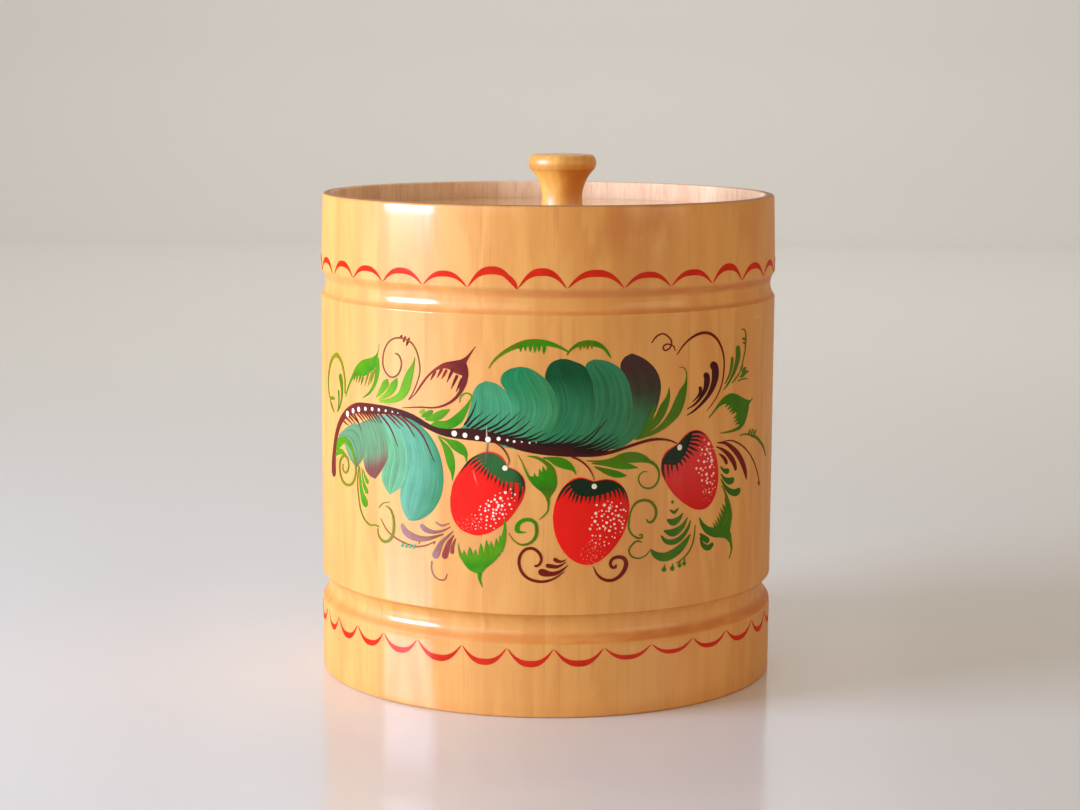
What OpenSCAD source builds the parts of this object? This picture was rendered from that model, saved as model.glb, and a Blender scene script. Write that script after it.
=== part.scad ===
// Round lidded container: a stave-built body, turned outside, with a sunken lid and a turned knob.
// Millimetres, +Z up. The origin is the middle of the foot, on the table, and the front faces -Y.

/* [Body] */
// Outside diameter of the body between foot and upper groove
body_d = 181; // [150:1:230]
// Amount that the upper band narrows towards the rim, on the radius
rim_taper = 0.8; // [0:0.1:2]
// Height of the rim above the table
body_h = 190.5; // [170:0.5:260]
// Number of staves glued edge to edge round the body
stave_count = 24; // [12:1:36]
// Thickness of a stave below the lid's ledge
wall = 9.5; // [8:0.5:14]
// Thickness of the lip that stands round the lid, at the rim
lip_wall = 4.4; // [3:0.1:6]
// Rounding of the rim's outer edge
rim_round = 1.2; // [0.4:0.1:2]
// Rounding of the rim's inner edge
mouth_round = 0.8; // [0.2:0.1:1]
// Rounding of the foot's outer edge
foot_round = 1; // [0.4:0.1:3]

/* [Turned grooves] */
// Drop from the rim to the crisp lower edge of the upper groove
upper_edge_drop = 39.9; // [34:0.1:50]
// Height of the upper groove, from its crisp edge to the end of its soft shoulder
upper_groove_h = 10.4; // [10.2:0.1:14]
// Depth of the upper groove
upper_groove_depth = 1.8; // [1:0.1:3]
// Distance from the upper groove's crisp edge to its deepest line
upper_throat = 5; // [3:0.1:5.1]
// Height of the crisp upper edge of the lower groove above the table
lower_edge_z = 39.3; // [32:0.1:50]
// Height of the lower groove, from its crisp edge to the end of its soft shoulder
lower_groove_h = 11.5; // [10.6:0.1:16]
// Depth of the lower groove
lower_groove_depth = 2.8; // [1:0.1:3.5]
// Distance from the lower groove's crisp edge to its deepest line
lower_throat = 5.2; // [4:0.1:5.6]

/* [Base] */
// Height of the base's underside above the table
base_lift = 6; // [2:0.5:12]
// Thickness of the base
base_t = 9; // [7:0.5:14]
// Thickness of the tongue round the base, which the staves' groove takes
tongue_t = 5; // [3:0.5:7]
// Reach of the staves' groove into the wall
croze_depth = 3.5; // [2:0.5:4.5]
// Width of the middle board of the base
base_board_w = 60; // [30:1:90]

/* [Lid] */
// Drop from the rim to the lid's top
lid_drop = 7; // [4:0.5:12]
// Thickness of the lid
lid_t = 10; // [9:0.5:14]
// Rounding of the lid's upper edge
lid_round = 1.5; // [0.5:0.1:3]
// Width of the middle board of the lid
lid_board_w = 64; // [40:1:90]

/* [Knob] */
// Distance of the knob's axis from the lid's middle
knob_off = 5.5; // [0:0.1:8]
// Height of the knob above the lid
knob_h = 22.5; // [16:0.5:30]
// Diameter of the knob's head
knob_d = 27; // [22:0.5:34]
// Thickness of the knob's head
head_t = 6; // [5:0.5:8]
// Rounding of the head's upper edge
head_round = 2.4; // [1:0.1:4]
// Width of the flat under the head's edge
head_lip = 0.5; // [0.2:0.1:1]
// Diameter of the knob's neck at its narrowest
neck_d = 16; // [13:0.5:20]
// Height of the neck's narrowest line above the lid
neck_z = 5; // [3:0.5:7]
// Diameter of the tenon glued into the lid
tenon_d = 11; // [8:0.5:12.5]
// Length of the tenon
tenon_l = 7.5; // [5:0.5:8]

/* [Fits] */
// Gap all round between the lid and the lip
lid_gap = 0.8; // [0.4:0.1:1.5]
// Gap all round between the base and the staves
base_gap = 0.2; // [0.1:0.05:0.5]
// Glue gap round the knob's tenon
tenon_gap = 0.05; // [0.02:0.01:0.2]
// Room left under the tenon in its seat
tenon_room = 0.5; // [0.2:0.1:0.9]

/* [Hidden] */
$fn = 96;

body_r = body_d / 2;
rim_r = body_r - rim_taper;
inner_r = body_r - wall;
mouth_r = rim_r - lip_wall;
stave_angle = 360 / stave_count;
// The first joint between staves lies in the middle of the front
first_joint_angle = -90;
// Reach of cutting shapes past the faces that they cut
overcut = 3;

upper_edge_z = body_h - upper_edge_drop;
upper_shoulder_z = upper_edge_z + upper_groove_h;

base_r = inner_r - base_gap;
tongue_z = base_lift + (base_t - tongue_t) / 2;
tongue_r = inner_r + croze_depth - base_gap;

lid_top_z = body_h - lid_drop;
ledge_z = lid_top_z - lid_t;
lid_r = mouth_r - lid_gap;

knob_r = knob_d / 2;
neck_r = neck_d / 2;
head_z = knob_h - head_t;

lacquered = "#dba45a";
raw_wood = "#e6c79f";
knob_wood = "#d99a50";

function stave_name(i) = str("stave_", i < 10 ? "0" : "", i);

// Arc radius that drops by depth over a reach on either side of its deepest point
function arc_radius(depth, reach) = (depth * depth + reach * reach) / (2 * depth);

// Waste outside a rounded corner at the origin, where the wood lies to the left and below
module corner_waste(radius) {
    difference() {
        translate([-radius, -radius]) square(radius + overcut);
        translate([-radius, -radius]) circle(radius);
        translate([-radius, -radius - overcut]) square([radius + overcut, overcut]);
        translate([-radius - overcut, -radius]) square([overcut, radius + overcut]);
    }
}

// Section of a groove in a wall whose face is the vertical axis, with its crisp edge at the origin.
// A cove arc runs from the crisp edge through the deepest line. A shoulder arc, tangent to the cove
// and to the wall's face, leads out again at the groove's full height.
module groove_section(depth, height, throat) {
    cove_r = arc_radius(depth, throat);
    cove = [cove_r - depth, throat];
    rise = height - throat;
    shoulder_r = (cove.x * cove.x + rise * rise - cove_r * cove_r) / (2 * depth);
    shoulder = [-shoulder_r, height];
    tangent = cove + (shoulder - cove) * cove_r / (cove_r + shoulder_r);
    translate(cove) circle(cove_r);
    difference() {
        polygon([cove, [cove.x, height], [0, height], tangent]);
        translate(shoulder) circle(shoulder_r);
    }
}

// Section of the body's wall, with the radius along X and the height along Y
module wall_section() {
    difference() {
        polygon([
            [inner_r, 0],
            [body_r, 0],
            [body_r, upper_shoulder_z],
            [rim_r, body_h - rim_round],
            [rim_r, body_h],
            [inner_r, body_h]
        ]);
        translate([body_r, upper_edge_z])
            groove_section(upper_groove_depth, upper_groove_h, upper_throat);
        translate([body_r, lower_edge_z]) mirror([0, 1])
            groove_section(lower_groove_depth, lower_groove_h, lower_throat);
        translate([inner_r - overcut, ledge_z]) square([mouth_r - inner_r + overcut, body_h]);
        translate([inner_r - overcut, tongue_z]) square([croze_depth + overcut, tongue_t]);
        translate([rim_r, body_h]) corner_waste(rim_round);
        translate([mouth_r, body_h]) mirror([1, 0]) corner_waste(mouth_round);
        translate([body_r, 0]) mirror([0, 1]) corner_waste(foot_round);
    }
}

// Stave number i, counted from the front towards +X
module stave(i) {
    color(lacquered)
        rotate([0, 0, first_joint_angle + (i - 1) * stave_angle])
            rotate_extrude(angle = stave_angle) wall_section();
}

// Base with its tongue, before it is parted into boards
module base_disc() {
    translate([0, 0, base_lift]) cylinder(r = base_r, h = base_t);
    translate([0, 0, tongue_z]) cylinder(r = tongue_r, h = tongue_t);
}

// Upright slab from one X to another, across the whole base
module base_slab(from_x, to_x) {
    translate([from_x, -body_r, 0]) cube([to_x - from_x, body_d, body_h]);
}

module base_board_left() {
    color(raw_wood) intersection() {
        base_disc();
        base_slab(-body_r, -base_board_w / 2);
    }
}

module base_board_middle() {
    color(raw_wood) intersection() {
        base_disc();
        base_slab(-base_board_w / 2, base_board_w / 2);
    }
}

module base_board_right() {
    color(raw_wood) intersection() {
        base_disc();
        base_slab(base_board_w / 2, body_r);
    }
}

// Lid on its ledge with the knob's seat, before it is parted into boards
module lid_disc() {
    seat_l = tenon_l + tenon_room;
    difference() {
        translate([0, 0, ledge_z]) rotate_extrude() difference() {
            square([lid_r, lid_t]);
            translate([lid_r, lid_t]) corner_waste(lid_round);
        }
        translate([knob_off, 0, lid_top_z - seat_l])
            cylinder(r = tenon_d / 2 + tenon_gap, h = seat_l + overcut);
    }
}

// Upright slab from one Y to another, across the whole lid
module lid_slab(from_y, to_y) {
    translate([-body_r, from_y, 0]) cube([body_d, to_y - from_y, body_h]);
}

module lid_board_front() {
    color(lacquered) intersection() {
        lid_disc();
        lid_slab(-body_r, -lid_board_w / 2);
    }
}

module lid_board_middle() {
    color(lacquered) intersection() {
        lid_disc();
        lid_slab(-lid_board_w / 2, lid_board_w / 2);
    }
}

module lid_board_back() {
    color(lacquered) intersection() {
        lid_disc();
        lid_slab(lid_board_w / 2, body_r);
    }
}

// Section of the knob, with the lid's top at the origin: a hollowed neck under a round-edged head,
// and a tenon below
module knob_section() {
    neck_top_r = knob_r - head_lip;
    hollow_r = arc_radius(neck_top_r - neck_r, head_z - neck_z);
    difference() {
        square([neck_top_r, head_z]);
        translate([neck_r + hollow_r, neck_z]) circle(hollow_r);
    }
    translate([0, head_z]) difference() {
        square([knob_r, head_t]);
        translate([knob_r, head_t]) corner_waste(head_round);
    }
    translate([0, -tenon_l]) square([tenon_d / 2, tenon_l]);
}

module knob() {
    color(knob_wood)
        translate([knob_off, 0, lid_top_z]) rotate_extrude() knob_section();
}

for (i = [1 : stave_count])
    stave(i);
base_board_left();
base_board_middle();
base_board_right();
lid_board_front();
lid_board_middle();
lid_board_back();
knob();
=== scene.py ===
import math
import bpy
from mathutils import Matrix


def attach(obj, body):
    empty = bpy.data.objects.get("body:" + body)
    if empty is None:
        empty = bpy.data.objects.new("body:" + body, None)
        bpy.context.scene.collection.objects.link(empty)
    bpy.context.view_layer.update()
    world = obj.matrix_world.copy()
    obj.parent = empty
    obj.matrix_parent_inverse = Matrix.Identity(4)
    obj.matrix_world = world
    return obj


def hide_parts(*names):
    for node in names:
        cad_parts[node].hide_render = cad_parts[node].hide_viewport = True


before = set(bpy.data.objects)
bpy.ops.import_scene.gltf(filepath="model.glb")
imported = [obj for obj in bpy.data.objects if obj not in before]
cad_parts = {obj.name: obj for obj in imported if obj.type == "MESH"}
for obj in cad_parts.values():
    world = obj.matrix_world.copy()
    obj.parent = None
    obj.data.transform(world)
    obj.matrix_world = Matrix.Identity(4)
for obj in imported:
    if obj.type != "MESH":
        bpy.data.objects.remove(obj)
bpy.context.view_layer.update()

from types import SimpleNamespace

import bpy
import numpy as np
from bpy.props import FloatProperty, FloatVectorProperty, IntProperty, PointerProperty
from mathutils import Matrix, Vector

bl_info = {
    "name": "Painted stave canister",
    "version": (1, 0, 0),
    "blender": (4, 5, 0),
    "location": "View3D > Sidebar > Canister",
    "description": "Builds a turned, stave-built canister with a painted strawberry spray",
    "category": "Object",
}

MM = 0.001
CONTAINER = "container"
LID = "lid"

# Radius at which distances along the painted wall are measured, in millimetres
UNROLL_RADIUS = 90.0

# Coats of paint: a higher one lies over a lower one
COAT = SimpleNamespace(ground=0, berry=2, leaf=3, cap=4, curl=4, hatching=5, stem=6, seed=6, dot=9)

# Steps in which a smooth curve is measured for each of its points, and the fewest rows of any stroke
CURVE_STEPS = 24
FEWEST_ROWS = 9


# Properties

def length(name, description, default):
    """A length property whose default is given in millimetres."""
    return FloatProperty(
        name=name, description=description, default=default * MM, unit="LENGTH", precision=5)


def colour(name, description, default):
    """A colour property, as it looks on the object, with its default from 0 to 255."""
    return FloatVectorProperty(
        name=name, description=description, default=[c / 255 for c in default],
        size=3, min=0, max=1, subtype="COLOR_GAMMA")


class CanisterSizes(bpy.types.PropertyGroup):
    """Sizes of the turned body, the knob and the paint, as the solids have them."""

    body_radius: length("Body radius", "Outside of the body at its foot and field", 90.5)
    body_height: length("Body height", "Height of the rim", 190.5)
    rim_taper: length("Rim taper", "How far the rim closes in above the upper groove", 0.8)
    wall: length("Wall", "Thickness of the staves", 9.5)
    lip_wall: length("Lip wall", "Thickness of the lip round the lid", 4.4)
    lip_depth: length("Lip depth", "Depth of the lid's ledge under the rim", 17.0)
    rim_round: length("Rim rounding", "Rounding of the rim's outer edge", 1.2)
    mouth_round: length("Mouth rounding", "Rounding of the rim's inner edge", 0.8)
    foot_round: length("Foot rounding", "Rounding of the foot's outer edge", 1.0)
    edge_wear: length("Edge wear", "Height over which the grooves' crisp edges are worn round", 0.5)
    upper_edge: length("Upper edge", "Height of the upper groove's crisp edge", 150.6)
    upper_height: length("Upper groove height", "Height of the upper groove", 10.4)
    upper_depth: length("Upper groove depth", "Depth of the upper groove", 1.8)
    upper_throat: length("Upper throat", "From the crisp edge to the deepest line", 5.0)
    lower_edge: length("Lower edge", "Height of the lower groove's crisp edge", 39.3)
    lower_height: length("Lower groove height", "Height of the lower groove", 11.5)
    lower_depth: length("Lower groove depth", "Depth of the lower groove", 2.8)
    lower_throat: length("Lower throat", "From the crisp edge to the deepest line", 5.2)
    croze_depth: length("Croze depth", "Depth of the groove that holds the base", 3.5)
    croze_bottom: length("Croze bottom", "Lowest height of the base's groove", 8.0)
    croze_top: length("Croze top", "Highest height of the base's groove", 13.0)
    knob_offset: length("Knob offset", "How far the knob stands off the lid's middle", 5.5)
    knob_foot: length("Knob foot", "Height of the lid's top, where the knob stands", 183.5)
    knob_height: length("Knob height", "Height of the knob over the lid", 22.5)
    knob_radius: length("Knob radius", "Widest radius of the knob's head", 13.5)
    head_height: length("Head height", "Thickness of the knob's head", 6.0)
    head_round: length("Head rounding", "Width of the rounding on the head's upper edge", 2.2)
    head_shoulder: length("Head shoulder", "Height of the rounding on the head's upper edge", 3.3)
    head_lip: length("Head lip", "Width of the flat under the head", 0.5)
    head_crown: length("Head crown", "How far the head's top falls towards its edge", 0.5)
    neck_radius: length("Neck radius", "Narrowest radius of the neck", 8.0)
    neck_height: length("Neck height", "Height of the narrowest line over the lid", 5.0)
    tenon_radius: length("Tenon radius", "Radius of the tenon in the lid", 5.5)
    tenon_length: length("Tenon length", "Length of the tenon in the lid", 7.5)
    film: length("Paint film", "Thickness of the first coat of paint", 0.05)
    film_step: length("Paint step", "How much higher each further coat lies", 0.02)
    film_key: length("Paint key", "How far the paint's underside reaches into the wood", 0.06)
    spray_shift: length("Spray shift", "How far the spray stands to the right of the front", 0.2)
    stave_count: IntProperty(name="Staves", description="Staves round the body", default=24, min=12)


class WoodColours(bpy.types.PropertyGroup):
    """Colours of the bare and lacquered wood."""

    pale: colour("Pale wood", "Lacquered wood at its palest", (232, 167, 82))
    deep: colour("Deep wood", "Lacquered wood in its warmer clouds", (220, 148, 66))
    # Amber also paints shade along the knob head's lower edge
    amber: colour("Amber", "Grain streaks", (190, 116, 50))
    # Partly painted shade: this colour darkens the grooves and the foot, more on the shaded right side
    gathered_and_shaded: colour("Gathered lacquer", "Lacquer gathered in the grooves", (208, 122, 46))
    # Painted shade on the rim's top at the front
    rim_top_shade: colour("Handled rim", "Top of the rim, browned at the front", (142, 92, 48))
    knob_pale: colour("Pale knob", "Knob at its palest", (240, 182, 84))
    knob_deep: colour("Deep knob", "Knob in its warmer clouds", (222, 152, 58))
    # Also painted shade in the knob's hollow on its right side; under the rim it is a real stain
    stain_and_shade: colour("Stain", "Darkened lacquer under the rim", (196, 108, 26))
    raw_pale: colour("Raw wood", "Unlacquered wood inside", (242, 213, 176))
    raw_deep: colour("Raw grain", "Grain of the unlacquered wood", (214, 160, 110))
    floor: colour("Floor", "Pale floor and backdrop", (222, 219, 209))


class PaintColours(bpy.types.PropertyGroup):
    """Colours of the painted spray and its borders."""

    border_red: colour("Border red", "Scalloped borders", (206, 38, 10))
    berry_red: colour("Berry red", "Strawberries", (236, 26, 12))
    berry_shade: colour("Berry shade", "Strawberries at their right edge", (212, 20, 10))
    crimson: colour("Crimson", "The strawberry on the right", (216, 38, 34))
    cap: colour("Berry cap", "Dark caps of the strawberries", (13, 40, 18))
    cap_pale: colour("Pale cap", "Thin paint on the left berry's cap", (78, 88, 54))
    cap_green: colour("Green cap", "Middle of the left berry's cap", (46, 96, 46))
    tooth: colour("Tooth", "Tips of the caps' teeth", (104, 30, 22))
    rose: colour("Rose", "Upper side of the strawberry on the right", (222, 60, 58))
    seed: colour("Seed", "Seeds of the strawberries", (255, 222, 198))
    cap_worn: colour("Worn cap", "Scratch across the left berry's cap", (104, 100, 76))
    cream: colour("Cream", "Dots and seeds", (244, 234, 206))
    pink: colour("Pink", "Faint seeds", (236, 120, 96))
    sea_pale: colour("Pale sea green", "Light lobe of the left leaf", (101, 160, 110))
    sea: colour("Sea green", "Broad lobe of the left leaf", (97, 161, 127))
    sea_deep: colour("Deep sea green", "Right edge of the left leaf", (52, 128, 83))
    sage: colour("Sage", "Left lobes of the left leaf", (98, 140, 97))
    sage_deep: colour("Deep sage", "Tip of the left lobe", (103, 109, 62))
    plum_pale: colour("Pale plum", "Plum tip of the left leaf", (120, 70, 60))
    teal: colour("Teal", "First lobe of the large leaf", (64, 143, 98))
    teal_mid: colour("Middle teal", "Between the first lobes of the large leaf", (60, 134, 82))
    teal_green: colour("Teal green", "Second lobe of the large leaf", (32, 126, 75))
    teal_low: colour("Low teal", "Lower part of the large leaf", (41, 118, 75))
    teal_dark: colour("Dark teal", "Darkest lobe of the large leaf", (12, 77, 42))
    moss: colour("Moss", "Right lobes of the large leaf", (51, 124, 82))
    moss_dark: colour("Dark moss", "Middle of the last lobe", (54, 64, 42))
    plum: colour("Plum", "Tip of the last lobe", (68, 42, 38))
    leaf: colour("Leaf green", "Fresh green leaves", (48, 133, 0))
    leaf_light: colour("Light leaf", "Yellowish green leaves", (120, 168, 16))
    leaf_left: colour("Left leaf", "Leaves lit from the left", (80, 142, 0))
    leaf_dark: colour("Dark leaf", "Shaded green leaves", (62, 116, 0))
    leaf_deep: colour("Deep leaf", "Drops and fans on the right", (52, 104, 6))
    leaf_olive: colour("Olive leaf", "Leaves at the top and between the berries", (84, 116, 0))
    leaf_curl: colour("Green curl", "Green tendrils", (88, 108, 0))
    olive: colour("Olive", "Thin green tendrils", (120, 124, 6))
    stem: colour("Stem", "Dark stem", (58, 14, 8))
    stem_red: colour("Red stem", "Red brown of the stem's foot", (112, 36, 24))
    hatch: colour("Hatching", "Dark strokes over the large leaf", (36, 16, 14))
    brown: colour("Brown", "Commas and brown curls", (112, 22, 6))
    maroon: colour("Maroon", "Dark commas on the right", (72, 14, 18))
    bud: colour("Bud", "Red brown bud", (140, 44, 30))
    bud_dark: colour("Dark bud", "Right half of the bud", (106, 28, 26))
    brown_pale: colour("Pale brown", "Thin brown tendrils", (134, 76, 44))
    mauve: colour("Mauve", "Mauve commas on the left", (158, 114, 109))
    red_mauve: colour("Red mauve", "Reddish commas on the left", (148, 64, 54))
    chip: colour("Chip", "Worn spots", (226, 190, 140))
    scratch: colour("Scratch", "Thin scratch across the stem", (182, 168, 148))


def in_mm(group):
    """The lengths of a property group as plain numbers in millimetres."""
    names = [n for n in group.__annotations__ if n != "stave_count"]
    return SimpleNamespace(**{n: getattr(group, n) / MM for n in names})


def linear(shown):
    """A colour as displayed, turned into the linear values that meshes and nodes hold."""
    shown = np.asarray(shown, float)
    return np.where(shown <= 0.04045, shown / 12.92, ((shown + 0.055) / 1.055) ** 2.4)


def rgba(shown):
    """A displayed colour as the four linear numbers of a colour socket."""
    return (*linear(shown), 1.0)


# Meshes

def grid_quads(index):
    """Quads of a grid of vertex numbers, in the order first axis, then second axis."""
    return np.stack(
        [index[:-1, :-1], index[1:, :-1], index[1:, 1:], index[:-1, 1:]], -1).reshape(-1, 4)


def new_piece(name, points, faces, body, material, sharp=35.0):
    """A mesh object from points in millimetres, smooth but for edges sharper than the given degrees."""
    mesh = bpy.data.meshes.new(name)
    mesh.from_pydata((np.asarray(points) * MM).tolist(), [], faces)
    if mesh.validate():
        raise RuntimeError(f"{name} has faces that can't be used")
    mesh.shade_smooth()
    mesh.set_sharp_from_angle(angle=math.radians(sharp))
    mesh.materials.append(material)
    piece = bpy.data.objects.new(name, mesh)
    bpy.context.scene.collection.objects.link(piece)
    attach(piece, body)
    return piece


def arc(middle, radius, start, stop, count):
    """Points on a circle's arc in the plane of radius and height; angles in degrees from outward."""
    turn = np.radians(np.linspace(start, stop, count))
    return np.stack([middle[0] + radius * np.cos(turn), middle[1] + radius * np.sin(turn)], -1)


def sector(profile, start, stop, steps):
    """A closed section carried round the axis from one angle to another and capped at both ends.

    A point (r, z) of the section at angle a is (r sin a, -r cos a, z), so angle 0 is the front."""
    turn = np.linspace(start, stop, steps + 1)[:, None]
    radius, height = profile[:, 0], profile[:, 1]
    points = np.stack(np.broadcast_arrays(
        radius * np.sin(turn), -radius * np.cos(turn), height + 0 * turn), -1)
    count = len(profile)
    index = np.arange((steps + 1) * count).reshape(steps + 1, count)
    quads = grid_quads(np.concatenate([index, index[:, :1]], 1))
    caps = [index[0].tolist(), index[-1, ::-1].tolist()]
    return points.reshape(-1, 3), quads.tolist() + caps


def revolved(profile, axis_x, steps):
    """A section from the axis round to the axis again, turned all the way about an upright axis.

    A point (r, z) at angle a is (axis_x + r sin a, -r cos a, z); both ends close in one pole."""
    turn = np.arange(steps)[:, None] * (2 * math.pi / steps)
    radius, height = profile[1:-1, 0], profile[1:-1, 1]
    ring = np.stack(np.broadcast_arrays(
        axis_x + radius * np.sin(turn), -radius * np.cos(turn), height + 0 * turn), -1)
    count = len(profile) - 2
    index = np.arange(steps * count).reshape(steps, count)
    index = np.concatenate([index, index[:1]])
    poles = [[axis_x, 0, profile[0, 1]], [axis_x, 0, profile[-1, 1]]]
    foot, top = steps * count, steps * count + 1
    first = np.stack([index[1:, 0], index[:-1, 0], np.full(steps, foot)], -1)
    last = np.stack([index[:-1, -1], index[1:, -1], np.full(steps, top)], -1)
    points = np.concatenate([ring.reshape(-1, 3), poles])
    return points, grid_quads(index).tolist() + first.tolist() + last.tolist()


# Shape of the turned wall

def groove_depth(run, depth, height, throat):
    """Depth of a groove at a distance run from its crisp edge.

    A cove arc drops from the crisp edge to the full depth at throat. A shoulder arc, tangent to the
    cove and to the wall, leads out again at the groove's full height."""
    cove_radius = (depth ** 2 + throat ** 2) / (2 * depth)
    set_back = cove_radius - depth
    rise = height - throat
    shoulder_radius = (set_back ** 2 + rise ** 2 - cove_radius ** 2) / (2 * depth)
    meet = throat + rise * cove_radius / (cove_radius + shoulder_radius)
    cove = np.sqrt(np.maximum(cove_radius ** 2 - (run - throat) ** 2, 0)) - set_back
    shoulder = shoulder_radius - np.sqrt(np.maximum(shoulder_radius ** 2 - (run - height) ** 2, 0))
    inside = (run > 0) & (run < height)
    return np.where(inside, np.maximum(np.where(run < meet, cove, shoulder), 0), 0)


def wall_radius(z, size):
    """Outside radius of the wall at height z: the body's radius less both grooves and the rim's taper.

    It is the mean over a short height, which rounds the grooves' crisp edges as wear does."""
    spread = np.linspace(-0.5, 0.5, 5) * size.edge_wear
    z = np.asarray(z, float)[..., None] + spread
    upper = groove_depth(z - size.upper_edge, size.upper_depth, size.upper_height, size.upper_throat)
    lower = groove_depth(size.lower_edge - z, size.lower_depth, size.lower_height, size.lower_throat)
    shoulder = size.upper_edge + size.upper_height
    taper = np.clip((z - shoulder) / (size.body_height - size.rim_round - shoulder), 0, 1)
    return (size.body_radius - upper - lower - size.rim_taper * taper).mean(-1)


def wall_section(size):
    """The closed section of the staves, anticlockwise: foot, outside, rim, mouth, ledge, croze."""
    inner = size.body_radius - size.wall
    rim = size.body_radius - size.rim_taper
    mouth = rim - size.lip_wall
    top = size.body_height
    ledge = top - size.lip_depth
    wear = size.edge_wear
    lower_end = size.lower_edge - size.lower_height
    upper_end = size.upper_edge + size.upper_height
    # Rows lie closer in the grooves, and closest at their crisp edges
    heights = np.unique(np.round(np.concatenate([
        np.linspace(size.foot_round, lower_end, 8),
        np.linspace(lower_end, size.lower_edge - wear, 30),
        np.linspace(size.lower_edge - wear, size.lower_edge + wear, 7),
        np.linspace(size.lower_edge + wear, size.upper_edge - wear, 16),
        np.linspace(size.upper_edge - wear, size.upper_edge + wear, 7),
        np.linspace(size.upper_edge + wear, upper_end, 26),
        np.linspace(upper_end, top - size.rim_round, 10)]), 6))
    outside = np.stack([wall_radius(heights, size), heights], -1)
    foot = (size.body_radius - size.foot_round, size.foot_round)
    rim_middle = (rim - size.rim_round, top - size.rim_round)
    mouth_middle = (mouth + size.mouth_round, top - size.mouth_round)
    return np.concatenate([
        [[inner, 0]],
        arc(foot, size.foot_round, -90, 0, 7)[:-1],
        outside[:-1],
        arc(rim_middle, size.rim_round, 0, 90, 8),
        arc(mouth_middle, size.mouth_round, 90, 180, 7),
        [[mouth, ledge], [inner, ledge], [inner, size.croze_top]],
        [[inner + size.croze_depth, size.croze_top], [inner + size.croze_depth, size.croze_bottom]],
        [[inner, size.croze_bottom]]])


def knob_section(size):
    """The knob's section from the tenon's foot to the head's top: a hollowed neck under a round head."""
    z = size.knob_foot
    # Drop from the neck's foot to the tenon's upper end
    seam = 0.01
    neck_top = size.knob_radius - size.head_lip
    head = size.knob_height - size.head_height
    flare, reach = neck_top - size.neck_radius, head - size.neck_height
    hollow = (flare ** 2 + reach ** 2) / (2 * flare)
    run = np.linspace(0, head, 26)
    neck = size.neck_radius + hollow - np.sqrt(hollow ** 2 - (run - size.neck_height) ** 2)
    edge = size.knob_radius - size.head_round
    top = size.knob_height - size.head_crown
    turn = np.linspace(0, math.pi / 2, 14)
    round_edge = np.stack([edge + size.head_round * np.cos(turn),
                           z + top - size.head_shoulder * (1 - np.sin(turn))], -1)
    belly = np.linspace(0, 1, 6)[:-1]
    side = np.stack([neck_top + size.head_lip * np.sin(belly * math.pi / 2),
                     z + head + (top - size.head_shoulder - head) * belly], -1)
    across = np.linspace(edge, 0, 10)[1:]
    crown = z + size.knob_height - size.head_crown * (across / edge) ** 2
    return np.concatenate([
        [[0, z - size.tenon_length], [size.tenon_radius, z - size.tenon_length]],
        [[size.tenon_radius, z - seam]],
        np.stack([neck, z + run], -1),
        side,
        round_edge,
        np.stack([across, crown], -1)])


# Paint on the wall

def smooth_path(points, count):
    """Points along a smooth curve through the given ones, closer together towards both ends.

    The curve is a cubic Hermite spline on the chord length; a point's slope is that of the parabola
    through it and its neighbours. Further columns, such as widths, are carried along."""
    points = np.asarray(points, float)
    chord = np.concatenate([[0], np.cumsum(np.hypot(*np.diff(points[:, :2], axis=0).T))])
    slope = np.gradient(points, chord, axis=0)
    fine = np.linspace(0, chord[-1], CURVE_STEPS * len(points))
    part = np.clip(np.searchsorted(chord, fine, side="right") - 1, 0, len(chord) - 2)
    span = (chord[part + 1] - chord[part])[:, None]
    t = (fine - chord[part])[:, None] / span
    curve = ((2 * t ** 3 - 3 * t ** 2 + 1) * points[part]
             + (t ** 3 - 2 * t ** 2 + t) * span * slope[part]
             + (3 * t ** 2 - 2 * t ** 3) * points[part + 1]
             + (t ** 3 - t ** 2) * span * slope[part + 1])
    run = np.concatenate([[0], np.cumsum(np.hypot(*np.diff(curve[:, :2], axis=0).T))])
    wanted = run[-1] * (1 - np.cos(np.linspace(0, math.pi, count))) / 2
    return np.stack([np.interp(wanted, run, column) for column in curve.T], -1), wanted


def path_length(points):
    """Length of the chain of points in the plane of the unrolled wall."""
    return np.hypot(*np.diff(np.asarray(points, float)[:, :2], axis=0).T).sum()


def row_count(reach, crowding, spacing, most):
    """Rows along a shape of the given length; more of them, as they crowd towards its ends."""
    return int(np.clip(crowding * reach / spacing, FEWEST_ROWS, most))


def ramp(values, place):
    """Colours spread evenly from 0 to 1, read at the given places."""
    values = np.asarray(values, float)
    stops = np.linspace(0, 1, len(values)) if len(values) > 1 else np.array([0.0])
    return np.stack([np.interp(place, stops, channel) for channel in values.T], -1)


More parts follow.
